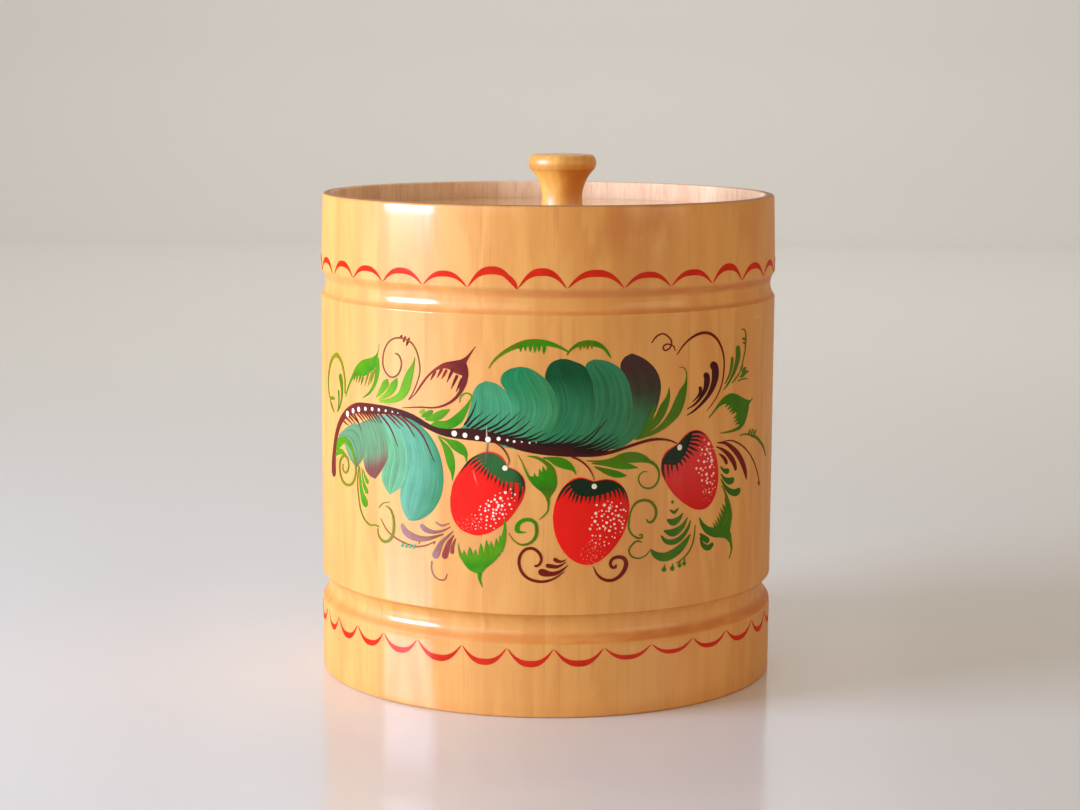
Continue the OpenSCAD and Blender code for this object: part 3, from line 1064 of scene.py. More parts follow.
class CANISTER_OT_feathered_leaves(bpy.types.Operator):
    """Paints the two broad feathered leaves, lobe over lobe, and their dark hatching"""

    bl_idname = "canister.feathered_leaves"
    bl_label = "Feathered leaves"

    # Each lobe: its left edge, its right edge, and its colours along either, from the stem to the tip
    UPPER_LOBES = (
        (((15, 101.4), (26, 108), (30.5, 116), (30, 123), (27.6, 129), (27.3, 133), (28.7, 135.1),
          (31.3, 136.4)),
         ((26, 101.2), (30, 102.8), (34, 105.5), (37.5, 108), (40, 111.5), (41.8, 115), (43.3, 120),
          (43.7, 123.5), (43, 127), (41, 130.5), (38, 133.3), (34, 135.6), (31.8, 136.4)),
         ("moss", "moss", "moss", "moss_dark", "plum", "plum"),
         ("teal_low", "teal_low", "moss_dark", "plum", "plum")),
        (((6, 102), (13, 109), (16, 117), (15.8, 125), (13.8, 131), (14.4, 133.2), (17, 134.6)),
         ((24, 101.5), (30, 108), (32, 115), (31.5, 122), (29.6, 127.5), (27.3, 130.8), (23.5, 133.3),
          (20, 134.4), (17.6, 134.6)),
         ("moss", "moss", "moss", "teal_low", "moss"), ("moss",)),
        (((-8, 104), (0, 110), (2.5, 117), (1.5, 123), (-0.8, 128), (-0.3, 131), (1.8, 133.8),
          (4.6, 134.9)),
         ((10, 101.5), (15.5, 108), (17.5, 115), (17.2, 122), (16, 127.5), (13.5, 132.2), (10, 133.9),
          (6.5, 134.9), (5.2, 134.9)),
         ("teal_low", "teal_low", "teal_low", "teal_dark", "teal_dark"),
         ("moss", "moss", "teal_dark", "teal_dark")),
        (((-20, 106.5), (-15, 112), (-13.5, 118), (-15.3, 123), (-17.2, 126.5), (-16.5, 129),
          (-14, 130.9), (-10.2, 131.9)),
         ((-4, 103), (2, 109), (4, 115), (3.4, 120), (1.6, 124.5), (-1, 127.8), (-4, 130), (-7, 131.5),
          (-9.6, 131.9)),
         ("teal", "teal", "teal_green", "teal_green"),
         ("teal_low", "teal_mid", "teal_mid", "teal_green")),
        (((-34, 107), (-31, 110), (-29.4, 114), (-28.1, 119), (-27.4, 122.3), (-25.8, 124.7),
          (-22.9, 126.2)),
         ((-16, 105.5), (-12.2, 111), (-12.1, 116), (-13.8, 120.5), (-16.2, 123.6), (-19, 125.5),
          (-22.3, 126.2)),
         ("teal", "teal", "teal", "teal_mid"), ("teal",)))
    LOWER_LOBES = (
        (((-63, 110.6), (-57.5, 104), (-56, 96), (-57.5, 88), (-59.1, 82), (-59, 78.5), (-57.6, 74.7),
          (-55.1, 71.6)),
         ((-54, 111), (-48.5, 107.5), (-45, 104.5), (-42.5, 101), (-40.5, 96), (-39.6, 91), (-39.6, 87),
          (-40.5, 82.5), (-42.5, 78.5), (-45.5, 75), (-49, 72.8), (-52, 71.8), (-54.6, 71.6)),
         ("sea",), ("sea_deep",)),
        (((-73, 110), (-68, 103), (-66.5, 96), (-68.6, 89.5), (-68.6, 85.3), (-66.6, 82.2),
          (-64.6, 80.4)),
         ((-61, 111), (-56.5, 104), (-54.5, 96), (-55.2, 89.5), (-57.5, 85), (-60, 82.9), (-62.3, 81.5),
          (-64.1, 80.4)),
         ("sea", "sea_pale", "sea_pale", "sea_pale"), ("sea", "sea_pale")),
        (((-85, 104.6), (-82, 101.5), (-80, 96), (-79.8, 91), (-78.2, 87.7), (-75.6, 86), (-72.9, 85.4)),
         ((-70, 110), (-67, 104), (-65.4, 98.5), (-65.3, 94.5), (-67.3, 91), (-69.8, 88), (-72.3, 85.4)),
         ("sage", "sage", "sage", "plum_pale", "plum_pale"), ("sage", "sage", "plum_pale", "plum_pale")),
        (((-100, 98.2), (-96.5, 97.7), (-94, 95.7), (-91.8, 93), (-88.8, 90.2), (-86, 88.7),
          (-84.6, 88.4)),
         ((-100, 98.6), (-96, 100.8), (-91, 103.2), (-85, 105.2), (-80.5, 104), (-78.2, 99), (-79, 94),
          (-81.5, 90.8), (-84.1, 88.4)),
         ("sage", "sage", "sage", "sage_deep"), ("sage", "sage", "sage", "sage_deep")))
    # A spot of the leaf's paint under the stem
    TEAL_SPOT = ((-20, 104.2, 0.6), (-15, 102.8, 1.6), (-10, 101.6, 0.5))
    # Strokes from the stem's edge to their tips over the leaves: base, middle and tip
    UPPER_HATCH = (
        ((-31, 109.5), (-28, 114), (-26, 119.3)), ((-30, 108.8), (-27.5, 111.5), (-23.5, 115)),
        ((-28.5, 108.3), (-25, 110.8), (-20.5, 114.5)), ((-27, 107.8), (-22, 110.8), (-17, 115)),
        ((-24, 107.6), (-19, 110), (-13.5, 114.8)), ((-21, 107.2), (-16, 110), (-10, 115.2)),
        ((-19, 106.6), (-14, 108.8), (-8, 113.8)), ((-17, 106), (-11, 108), (-6, 112.2)),
        ((-15, 105.6), (-9, 107), (-4.5, 110.3)), ((-13, 105), (-7, 105.8), (-1.5, 108.6)),
        ((-10, 104.4), (-4.5, 105.4), (0, 107.8)), ((-7, 103.6), (-1, 104.6), (4, 107.5)),
        ((-4, 103), (2, 104), (6.5, 107)), ((-1, 102.6), (5, 104), (9.5, 107.3)),
        ((2, 102.6), (8, 104), (13, 107)), ((5, 102.6), (12, 104.3), (19.5, 110)),
        ((7.5, 102.4), (14, 104), (22.3, 112.4)), ((9, 101.7), (16, 103.2), (22, 107.3)),
        ((9.5, 101.2), (18, 103), (25, 107)), ((10, 100.6), (19, 102), (26.5, 105.7)),
        ((12, 100.2), (20, 101.2), (27, 104.5)), ((15, 100), (21, 100.6), (27, 103)))
    LOWER_HATCH = (
        ((-96, 105.3), (-93.2, 104.2), (-90.5, 103.6)), ((-93.5, 106.5), (-90.5, 105.6), (-87.5, 104.5)),
        ((-91, 107.5), (-88.2, 106.4), (-85.5, 105)), ((-89, 108.3), (-86.2, 107), (-83.5, 105.5)),
        ((-87, 109), (-83.6, 106.2), (-80.5, 102.5)), ((-85, 109.5), (-82, 107.9), (-79, 106)),
        ((-83, 110), (-80.2, 108.4), (-77.5, 106.5)), ((-81, 110.2), (-78.2, 108.7), (-75.5, 107)),
        ((-79, 110.4), (-76.2, 108.8), (-73.5, 106.8)), ((-77, 110.5), (-74.4, 108.9), (-72, 106.8)),
        ((-75, 110.6), (-72.4, 109), (-70, 107)), ((-73, 110.8), (-70.6, 109.2), (-68.4, 107)),
        ((-70, 110.8), (-64, 105.8), (-60, 99)), ((-66.5, 111), (-62.5, 108.6), (-59, 106)),
        ((-64.5, 111.2), (-60.6, 109), (-57.5, 107)), ((-62, 111.4), (-56, 108.2), (-52, 103.5)),
        ((-59, 111.4), (-49.5, 105.4), (-43.3, 95)))

    def execute(self, context):
        for name, lobes in (("upper_feathered_leaf", self.UPPER_LOBES),
                            ("lower_feathered_leaf", self.LOWER_LOBES)):
            film = PaintFilm(context)
            for order, (left, right, colours, far_colours) in enumerate(lobes):
                film.patch(left, right, *colours, layer=order, right=far_colours)
            film.piece(name, "feathered_paint")
        hatch = PaintFilm(context, COAT.hatching)
        hatch.stroke(self.TEAL_SPOT, "teal")
        for strokes, colour, bold in ((self.UPPER_HATCH, "hatch", 0.95),
                                      (self.LOWER_HATCH, "stem_red", 0.85)):
            for base, middle, tip in strokes:
                hatch.flick(base, middle, tip, bold, colour)
        hatch.piece("leaf_hatching")
        return {"FINISHED"}


class CANISTER_OT_berries(bpy.types.Operator):
    """Paints the three strawberries with their caps and seeds"""

    bl_idname = "canister.berries"
    bl_label = "Strawberries"

    # Widths of a tooth at its root, middle and tip, where its points don't bring their own
    TOOTH = (0.9, 0.8, 0.1)
    # How far small seeds stray off their places, and the gap that they keep round large ones
    STRAY = 0.3
    CLEARANCE = 0.55

    # Each berry: upper and lower edges from left to right, the cap's outer and inner edges, its teeth,
    # the notch's dot, the largest seeds, and two clusters of small seeds: middle, half length, half
    # width, lean in degrees, count and largest radius
    BERRIES = {
        "left": dict(
            colours=("berry_red", "berry_red", "berry_shade"),
            cap_colours=("cap_pale", "cap_green", "cap_green", "cap_green", "cap"),
            teeth_from="cap_green",
            top=((-36.7, 82), (-35.5, 87.5), (-33, 92), (-29.5, 96), (-26, 98.8), (-23, 100.1),
                 (-20, 100.1), (-17, 98.8), (-15.4, 96.9), (-14.4, 94.9), (-12.4, 94.2), (-10, 92.7),
                 (-8.2, 90), (-7.8, 87)),
            bottom=((-36.7, 81.7), (-36.5, 77.5), (-35, 73.3), (-32.5, 70.5), (-29, 69), (-26, 68.5),
                    (-22, 69.5), (-18, 71.7), (-14, 75), (-11, 79), (-8.7, 83), (-7.8, 86.8)),
            cap=((-26.6, 98.1), (-24.5, 99.3), (-22, 99.7), (-20, 99.6), (-17.3, 98.4), (-15.6, 96.6),
                 (-14.5, 94.8), (-12.4, 93.8), (-10.4, 92.3), (-9.1, 90.4), (-8.5, 88.2)),
            inner=((-26.2, 97.8), (-24.6, 96.8), (-23.8, 95.2), (-22.2, 94), (-21.2, 92.6),
                   (-19.4, 91.6), (-17.6, 90.4), (-16, 89.4), (-13.6, 89.1), (-11.4, 89.1), (-9.8, 88.4),
                   (-9, 87.4)),
            teeth=(((-25, 98.8, 0.9), (-28, 97, 1.0), (-30.6, 94.4, 0.8), (-32.8, 91.2, 0.1)),
                   ((-24.6, 97.6), (-27, 96.2), (-29.4, 94)),
                   ((-24.2, 96.6), (-26.2, 95), (-28.2, 92.8)),
                   ((-23.6, 95.6), (-25.2, 93.9), (-27, 92)),
                   ((-22.8, 94.8), (-23.9, 93.2), (-25.2, 91.6)),
                   ((-22, 94), (-22.8, 92.4), (-23.6, 90.8)),
                   ((-21.1, 93), (-21.6, 91.2), (-22.2, 89.2)),
                   ((-19.8, 92.2), (-20.3, 90.8), (-20.8, 89.3)),
                   ((-18.3, 91.2), (-18.8, 89.8), (-19.3, 88.2)),
                   ((-17, 90.4), (-17.2, 88.8), (-17.7, 87)),
                   ((-15.7, 89.8, 1.0), (-15.9, 87.8, 0.8), (-16.3, 85.8, 0.1)),
                   ((-14.1, 89.5, 0.9), (-14.2, 87.4, 0.7), (-14.6, 85, 0.1)),
                   ((-12.3, 89.5, 0.9), (-12.3, 86, 0.7), (-13.1, 82, 0.1)),
                   ((-9.8, 89, 1.3), (-9.6, 85.6, 1.1), (-10.6, 81.6, 0.1)),
                   ((-14, 94.3, 0.3), (-11.6, 93.2, 0.6), (-9.3, 91, 0.7), (-8.3, 88, 0.6),
                    (-8.4, 85, 0.1))),
            dot=(-15.4, 94.3, 1.0), scuff=((-27.7, 94.6, 0.2), (-27.2, 91.4, 0.45), (-25.4, 86.4, 0.2)),
            seeds=((-17, 83, 0.59), (-15.2, 85.2, 0.55), (-19.2, 82.4, 0.5), (-13.6, 80.8, 0.46),
                   (-16.4, 80.2, 0.55), (-21.4, 80, 0.5), (-18.6, 78.6, 0.46), (-11.6, 84.6, 0.34),
                   (-22.8, 78, 0.42), (-19.8, 76.2, 0.46), (-16.2, 77, 0.42)),
            cluster=(-19.5, 78.4, 10.5, 5, 44, 54, 0.5), faint=(-28, 73.4, 7.5, 3.2, 18, 46, 0.3)),
        "middle": dict(
            colours=("berry_red", "berry_red", "berry_shade"),
            cap_colours=("cap",), teeth_from="cap",
            top=((2.3, 76.5), (3, 81), (4.5, 85), (7, 88.5), (10, 90.7), (13, 91.1), (15.6, 90.3),
                 (17.6, 89.6), (19.4, 89.9), (21.7, 90.2), (25, 89.7), (28.1, 87.6), (30.3, 84),
                 (31.3, 80)),
            bottom=((2.3, 76.2), (2.8, 71.5), (4.5, 66.5), (7.5, 62), (11, 59.3), (14.6, 58.2),
                    (18.5, 58.8), (22, 61), (26, 65), (29, 69.5), (30.8, 75), (31.3, 79.8)),
            cap=((8.2, 88.9), (10.2, 90.2), (12.8, 90.7), (15.4, 90), (17.5, 89.3), (19.4, 89.6),
                 (21.8, 89.9), (24.3, 89.5), (26.4, 88.5), (28, 87.1)),
            inner=((8.6, 88.3), (9.6, 86.5), (10.8, 85), (12.4, 84.2), (14.6, 83.9), (17.4, 83.9),
                   (20, 84.4), (22.4, 85), (24.6, 85.6), (26.2, 86.2), (27.6, 86.7)),
            teeth=(((9.4, 89.4, 0.9), (7, 87.6, 1.0), (5, 84.8, 0.9), (3.8, 81.8, 0.1)),
                   ((9.6, 88, 0.9), (7.6, 86.3, 0.9), (6, 83.6, 0.1)),
                   ((10, 86.8), (8.9, 85), (7.8, 82.6)), ((10.6, 85.8), (10, 83.8), (9.2, 81.8)),
                   ((11.6, 85), (11.2, 83.2), (10.6, 81.2)), ((13.1, 84.6), (12.8, 82.9), (12.4, 81.2)),
                   ((14.8, 84.4), (14.5, 83.2), (14.1, 81.8)), ((16.3, 84.4), (16, 82.7), (15.6, 80.8)),
                   ((18, 84.4), (17.8, 82.9), (17.4, 81.2)), ((19.8, 84.8), (19.8, 83.2), (19.6, 81.4)),
                   ((21.5, 85.4), (21.8, 83.6), (21.9, 81.8)), ((23.1, 86), (23.7, 84.2), (24, 82.4)),
                   ((24.6, 86.5), (25.5, 84.6), (26, 82.4)), ((26, 87), (27.1, 84.9), (27.6, 82.2)),
                   ((26.9, 87.6, 0.9), (28.5, 85.2, 0.9), (29.3, 82, 0.1)),
                   ((26.4, 88.3, 0.7), (28.8, 86.2, 0.6), (30.1, 83.6, 0.5), (30.6, 80.8, 0.1))),
            dot=(17.6, 87.6, 1.0),
            seeds=((21.5, 80.5, 0.59), (23.5, 79.3, 0.59), (18.3, 77.5, 0.59), (18, 74.5, 0.55),
                   (16.2, 71.7, 0.46), (23.5, 70.8, 0.5), (27, 76.3, 0.55), (26.2, 79.8, 0.42),
                   (20.6, 76.4, 0.42), (21.2, 72.6, 0.46), (25.4, 73.2, 0.46), (29, 78.4, 0.38),
                   (18.6, 80.6, 0.42), (20, 69, 0.42), (28.6, 73, 0.38)),
            cluster=(22.8, 73.5, 9.5, 6.2, 64, 64, 0.5), faint=(17.5, 63, 5.5, 4.5, 60, 40, 0.34)),
        "right": dict(
            colours=("rose", "rose", "crimson"), lower=("crimson", "berry_shade", "berry_shade"),
            cap_colours=("cap",), teeth_from="cap",
            top=((44, 93), (44.6, 96.8), (46.3, 99.2), (48.6, 100.5), (50.8, 101.4), (52.2, 102.4),
                 (53.4, 103.6), (55.6, 105.2), (58.5, 106.1), (61.5, 105.9), (64.5, 104.5),
                 (67.5, 101.5), (69.8, 98), (71.5, 94), (72.5, 89.5)),
            bottom=((44, 92.7), (44.5, 90.8), (46, 88), (48.5, 84.3), (52, 80.8), (56, 78), (60, 76),
                    (63.5, 75.4), (66.5, 75.9), (69.5, 78), (71.3, 81), (72.4, 85), (72.5, 89.2)),
            cap=((44.8, 94.6), (45.2, 96.8), (46.8, 98.9), (49, 100.2), (51, 101.2), (52.4, 102.2),
                 (53.8, 103.5), (55.9, 104.9), (57.9, 105.5)),
            inner=((45.2, 94.4), (46.8, 94.2), (49, 93.9), (51, 93.8), (52.4, 94.7), (53.8, 96.1),
                   (55, 97.7), (56.3, 99.7), (57.2, 101.6), (57.9, 103.6), (58.1, 105)),
            teeth=(((45.4, 97, 1.0), (44.9, 94, 1.2), (45.2, 91, 0.9), (46.2, 88.2, 0.1)),
                   ((46.9, 95), (47.1, 92.6), (47.7, 89)), ((48.9, 94.6), (48.9, 92.7), (49.2, 90.6)),
                   ((50.8, 94.4), (51.3, 92.6), (51.9, 90.6)), ((52.4, 95.2), (53.1, 94), (53.8, 92.8)),
                   ((53.6, 96.4), (54.7, 95.2), (55.8, 93.9)),
                   ((54.6, 97.6), (56.1, 96.4), (57.4, 95.4)),
                   ((55.6, 98.9), (57.6, 97.6), (59.4, 96.4)),
                   ((56.4, 100.2), (59.2, 98.9), (61.6, 97.8)),
                   ((57, 101.3), (59.8, 100.7), (62.8, 99.3)),
                   ((57.4, 102.6), (60.4, 102.3), (63.6, 101)),
                   ((57.6, 103.8), (60.6, 103.7), (64.2, 102.4)),
                   ((56.6, 105, 0.9), (59.4, 105.4, 0.9), (62.2, 105, 0.7), (65, 103.6, 0.1))),
            dot=(52.3, 100.2, 1.1),
            seeds=((68.5, 93.6, 0.8), (66.7, 100.2, 0.67), (67.6, 91.3, 0.59), (60.5, 91.5, 0.46),
                   (62.7, 91.2, 0.5), (65.8, 88.7, 0.63), (65.8, 98.2, 0.59), (64.4, 93.6, 0.55),
                   (67.6, 96.4, 0.55), (63.2, 98.4, 0.46), (69.6, 88.6, 0.5), (66.2, 85.4, 0.5),
                   (61.4, 94.4, 0.42), (69, 84.6, 0.42), (63.4, 86.6, 0.46), (67.4, 81.6, 0.42)),
            cluster=(66, 91, 11, 5, 100, 46, 0.52), faint=(66.5, 82, 4, 4, 90, 16, 0.4))}

    def seeds(self, film, cluster, colour, taken):
        """Seeds spread over an ellipse: number k stands k golden angles round at the root of its share.

        They shrink outwards, each is moved a little off its place, and none lies on one taken before."""
        s, z, long, short, lean, count, large = cluster
        random = np.random.default_rng(int(abs(s * 10)) + count)
        k = np.arange(count) + 0.5
        reach, turn = np.sqrt(k / count), k * math.pi * (3 - math.sqrt(5))
        one = long * reach * np.cos(turn) + random.normal(0, self.STRAY, count)
        other = short * reach * np.sin(turn) + random.normal(0, self.STRAY, count)
        lean = math.radians(lean)
        radius = large * (1.05 - 0.55 * reach) * random.uniform(0.55, 1.1, count)
        places = np.stack([s + one * math.cos(lean) - other * math.sin(lean),
                           z + one * math.sin(lean) + other * math.cos(lean), radius], -1)
        gap = np.hypot(places[:, None, 0] - taken[:, 0], places[:, None, 1] - taken[:, 1])
        film.dots(places[np.all(gap > taken[:, 2] + self.CLEARANCE, axis=1)], colour)

    @classmethod
    def tooth(cls, points):
        """The points of a tooth with their widths."""
        if len(points[0]) == 3:
            return points
        return [(*place, width) for place, width in zip(points, cls.TOOTH)]

    def execute(self, context):
        for name, berry in self.BERRIES.items():
            film = PaintFilm(context, COAT.berry)
            film.patch(berry["top"], berry["bottom"], *berry["colours"], right=berry.get("lower"))
            if "scuff" in berry:
                film.stroke(berry["scuff"], "berry_red", "pink", "berry_red", layer=1)
            film.piece(f"berry_{name}", "berry_paint")
            film = PaintFilm(context, COAT.cap)
            film.patch(berry["cap"], berry["inner"], *berry["cap_colours"])
            film.strokes(map(self.tooth, berry["teeth"]), berry["teeth_from"], "cap", "tooth")
            film.piece(f"berry_cap_{name}")
            film = PaintFilm(context, COAT.seed)
            film.dots([berry["dot"]], "cream")
            film.dots(berry["seeds"], "seed")
            self.seeds(film, berry["cluster"], "seed", np.array(berry["seeds"]))
            self.seeds(film, berry["faint"], "pink", np.array(berry["seeds"]))
            film.piece(f"berry_seeds_{name}")
        return {"FINISHED"}


class CANISTER_OT_green_leaves(bpy.types.Operator):
    """Paints the green leaves, blades and drops"""

    bl_idname = "canister.green_leaves"
    bl_label = "Green leaves"

    def left_leaves(self, film):
        """The toothed leaf, three leaflets and blades over the stem's left half."""
        # Toothed leaf
        film.patch(((-88.8, 121.2), (-86.5, 125), (-83.5, 128), (-80, 130), (-76, 131), (-72.5, 132.3),
                    (-70.8, 134), (-70, 137)),
                   ((-88.4, 121), (-85.6, 122.8), (-82, 123.8), (-79, 123.9), (-76, 125.4), (-73, 127.2),
                    (-70.8, 132.4), (-69.8, 137)), "leaf_olive", "leaf_left", "leaf_left", "leaf_olive",
                   right=("leaf_left", "leaf", "leaf", "leaf_left"))
        film.stroke([(-93.2, 114.3, 0.4), (-91.4, 117.4, 1.0), (-89.3, 120.4, 1.2), (-86.6, 123.6, 1.4)],
                    "leaf_left")
        film.stroke([(-71, 132, 1.4), (-71, 128, 2.4), (-71.5, 124.4, 2.1), (-73, 121.1, 1.6),
                     (-75.6, 118.1, 1.1), (-80, 115.5, 0.3)], "leaf_left", "leaf_left", "leaf_olive")
        film.comb(((-86.5, 121.2), (-84.9, 120.9), (-83, 120.8), (-81.4, 120.2)), (-1.7, -3.6), 1.2,
                  "leaf_olive")
        film.comb(((-78.8, 120.2), (-76.9, 120.1), (-75.3, 121.2)), (-2.8, -6), 1.1, "olive")
        # Three leaflets
        film.patch(((-72, 116.7), (-69.7, 120.2), (-67.2, 123.6), (-65.7, 124.2)),
                   ((-71.8, 116.4), (-69, 117.9), (-66.4, 120), (-64.8, 122.4), (-65.3, 124.2)),
                   "leaf_light", "leaf_left")
        film.patch(((-70.5, 116.1), (-66, 119.5), (-63.5, 123), (-60.8, 125)),
                   ((-70.3, 115.7), (-66, 117), (-62, 119.5), (-60.3, 122.5), (-60.4, 125)),
                   "leaf_light", "leaf_left")
        film.patch(((-70, 115.6), (-63.4, 117.4), (-59.8, 119.8), (-58, 123.5), (-55.9, 127.5),
                    (-52.9, 131.4), (-51.9, 133.5)),
                   ((-69.8, 114.9), (-65, 115), (-61, 115.8), (-57.3, 117.5), (-54.7, 120.5),
                    (-53.5, 124), (-52.6, 128), (-51.7, 133.5)), "leaf_light", "leaf_left")
        # Blades towards the large leaf
        film.stroke([(-50, 112.7, 1.2), (-48.6, 113.4, 1.7), (-47.5, 114, 0.9)], "leaf_light")
        film.stroke([(-49, 111.5, 0.6), (-46.2, 112.6, 2.3), (-44, 114.1, 1.1)], "leaf_left")
        film.stroke([(-47.5, 110.6, 0.6), (-43.5, 111.5, 2.8), (-40, 113.3, 2.8), (-37, 115, 0.5)],
                    "leaf_left")
        film.patch(((-45, 108.2), (-40, 107.6), (-36, 108.1), (-32.5, 110.2), (-30, 114.5),
                    (-28.2, 119.5)),
                   ((-44.9, 108.8), (-43.5, 109.9), (-38, 110.9), (-34.5, 113.3), (-31, 116.6),
                    (-28.5, 119.7)), "leaf_left", "leaf", "leaf_left")
        film.stroke([(-28.5, 118.5, 0.9), (-28.2, 120.5, 0.7), (-29.2, 121.3, 0.6), (-31, 121.3, 0.6),
                     (-32.7, 119.6, 0.5), (-33, 117.8, 0.2)], "leaf_left")

    def below_stem(self, film):
        """Leaves that hang from the stem between the berries."""
        # Pair of leaves over the left berry
        film.patch(((-42, 104.5), (-40.4, 102), (-39, 98), (-38, 94.5), (-36.4, 91), (-36, 88.4)),
                   ((-41.7, 104.6), (-39.5, 103), (-36.3, 100), (-35, 96.5), (-34.8, 93.5), (-35.4, 90),
                    (-35.8, 88.4)), "leaf_left", "leaf")
        film.patch(((-42, 105), (-38, 104), (-33.5, 103.4), (-30.8, 101.5), (-29.8, 99), (-30.1, 96)),
                   ((-41.8, 104.7), (-38.5, 103), (-35.7, 100.3), (-33, 98.8), (-31, 97.8),
                    (-30.4, 95.8)), "leaf_left", "leaf")
        # Toothed leaf between the left and the middle berry
        film.patch(((-6.7, 91.4), (-5.9, 89.4), (-4, 87.3), (-1.9, 85.6), (-0.6, 83.9), (0.1, 82.2)),
                   ((3.7, 91.8), (3.8, 88.6), (3.1, 86.3), (1.8, 84.5), (1.2, 83.4), (1, 82.2)),
                   "leaf", "leaf_deep", "leaf_olive")
        film.comb(((-4.7, 92.8), (-2.8, 94.4), (-1.5, 95.4), (0, 94.8), (1.2, 94.6)),
                  (-1.1, 4.6), 1.9, "leaf")
        film.stroke([(-10.6, 99.3, 0.2), (-9.1, 96.6, 0.45), (-7.9, 93.8, 0.7), (-6.8, 91.6, 1.0),
                     (-5.3, 89.4, 1.3)], "leaf_olive", "leaf")
        film.stroke([(-7.2, 99, 0.3), (-3.6, 98.4, 1.0), (-0.4, 96.6, 1.5), (1.9, 94, 2.0),
                     (3, 90.6, 1.6)], "leaf_olive", "leaf_dark")
        film.stroke([(0.6, 83.4, 1.3), (0.7, 80.6, 0.7), (0.3, 78.4, 0.55), (-0.8, 77, 0.5),
                     (-2.7, 75.3, 0.2)], "leaf_olive")
        # Leaves over the middle berry, and the curl at their end
        film.patch(((-1.5, 98.6), (2, 98.8), (6, 98.3), (9, 96.3), (10.4, 94), (10.9, 92)),
                   ((-1.3, 98.1), (0.5, 97.5), (3, 95.6), (6.5, 94.2), (9.4, 93.5), (10.7, 92)),
                   "leaf_dark", "leaf")
        film.patch(((14.5, 97.4), (20, 97.3), (24, 98), (28, 99.5), (32, 99.9), (36, 99), (39, 97),
                    (40.6, 95)),
                   ((14.6, 97), (20, 96.3), (25, 96), (29, 96), (32, 95.8), (36, 95.7), (39, 95.2),
                    (40.3, 94.6)), "leaf_olive", "leaf_dark")
        film.stroke([(16.5, 96.2, 0.4), (22, 95.8, 1.6), (26, 95.3, 2.6), (30, 94.7, 2.4),
                     (34.5, 93.8, 0.3)], "leaf_olive", "leaf")
        film.stroke([(17.5, 95, 0.4), (20.5, 93.7, 1.6), (24, 92.4, 2.6), (27.5, 91.5, 2.1),
                     (30, 91.1, 0.4)], "leaf_olive", "leaf")
        film.stroke([(39.5, 96, 1.3), (42, 94, 1.1), (43.3, 91.5, 0.8), (43, 88.5, 0.7), (41, 86.2, 0.7),
                     (38.5, 85.8, 0.7), (36, 87, 0.6), (34.8, 89.3, 0.6), (35.3, 91.2, 0.5),
                     (36.8, 92.2, 0.4), (38.5, 92, 0.2)], "leaf_dark", "leaf_olive")
        # Crowned leaf under the left berry
        film.stroke([(-33.4, 65, 0.1), (-33.1, 62.6, 0.7), (-32.2, 60.2, 1.3), (-30.6, 58.4, 1.2)],
                    "leaf_olive", "leaf_left")
        film.comb(((-31.2, 62.7), (-28.9, 64.1), (-26.8, 63.2)), (-0.3, 4.4), 2.3, "leaf_left")
        film.comb(((-24.6, 65.7), (-22.4, 67.1), (-20.7, 66.7), (-18.7, 67.9)), (-0.4, 6.2),
                  2.3, "leaf_left")
        film.comb(((-17.3, 68.9),), (-0.5, 5), 1.6, "leaf_left")
        film.patch(((-32.7, 60.3), (-31.8, 58.6), (-30, 56.2), (-27.5, 54.6), (-25.4, 54.1)),
                   ((-16.8, 62.4), (-17.6, 61.2), (-19.7, 58.8), (-22.5, 56.4), (-24.4, 54.1)),
                   "leaf_left", "leaf", "leaf_left")
        film.stroke([(-15.4, 75.2, 0.2), (-15.5, 71, 1.2), (-16.2, 67, 2.2), (-17.6, 62.6, 2.4)],
                    "leaf", "leaf_left")
        film.stroke([(-24.9, 55, 2), (-25, 52.5, 1.1), (-24, 49.3, 0.2)], "leaf")

    def top_arcs(self, film):
        """The two long toothed arcs over the large leaf."""
        film.stroke([(-21.7, 131, 0.4), (-20, 133.5, 0.8), (-17, 136.3, 1.2), (-12, 139.2, 1.9),
                     (-8, 140.5, 2.5), (-4, 140.9, 2.5), (0, 140.6, 2), (4, 139.4, 1.2),
                     (8, 137.3, 0.5)], "olive", "leaf_olive", "leaf_olive", "leaf", "leaf_olive")
        film.comb(((-9.9, 137.3), (-8.2, 137.6), (-6.4, 137.3), (-4.7, 137), (-3.2, 137.4),
                   (-1.4, 136.5)), (-0.2, -3.6), 1.5, "leaf")
        film.stroke([(7, 136.3, 0.4), (8.5, 138.3, 0.8), (11, 140, 1.6), (15, 140.7, 2.1),
                     (18, 140.2, 2), (20.5, 138.9, 1.4), (22.5, 136.5, 0.9), (23.4, 135, 0.3)],
                    "leaf_olive", "leaf")
        film.comb(((11.9, 138), (13.3, 138.6), (14.6, 138.2), (16.2, 138.4)), (-0.2, -2.6), 1.3,
                  "leaf_olive")

    def right_leaves(self, film):
        """Blades beside the large leaf, and leaves, drops and sprigs on the right."""
        # Blades beside the large leaf
        film.stroke([(33, 104.3, 0.4), (36, 106.3, 1.6), (38.8, 110.6, 2.6), (41.3, 117.2, 0.4)],
                    "leaf_dark")
        film.patch(((36.6, 106.2), (41.5, 112.8), (43.6, 116.8), (46.2, 120), (47.1, 123)),
                   ((37.6, 105.9), (43.2, 110), (46.4, 114.8), (47.7, 119.2), (47.4, 123)),
                   "leaf_olive", "leaf_dark")
        film.patch(((34, 104.6), (44, 109.8), (47.6, 114), (50, 118.5), (52, 121.8), (54.3, 124.5),
                    (55, 127)),
                   ((34.2, 104.2), (42, 106.2), (48, 109.2), (52.4, 113), (54.3, 117), (55.3, 122),
                    (55.4, 127)), "leaf_olive", "leaf_dark")
        film.stroke([(55.2, 126.5, 0.5), (54.8, 128.6, 0.45), (53.6, 130.1, 0.4), (51.5, 130.2, 0.2)],
                    "leaf_olive")
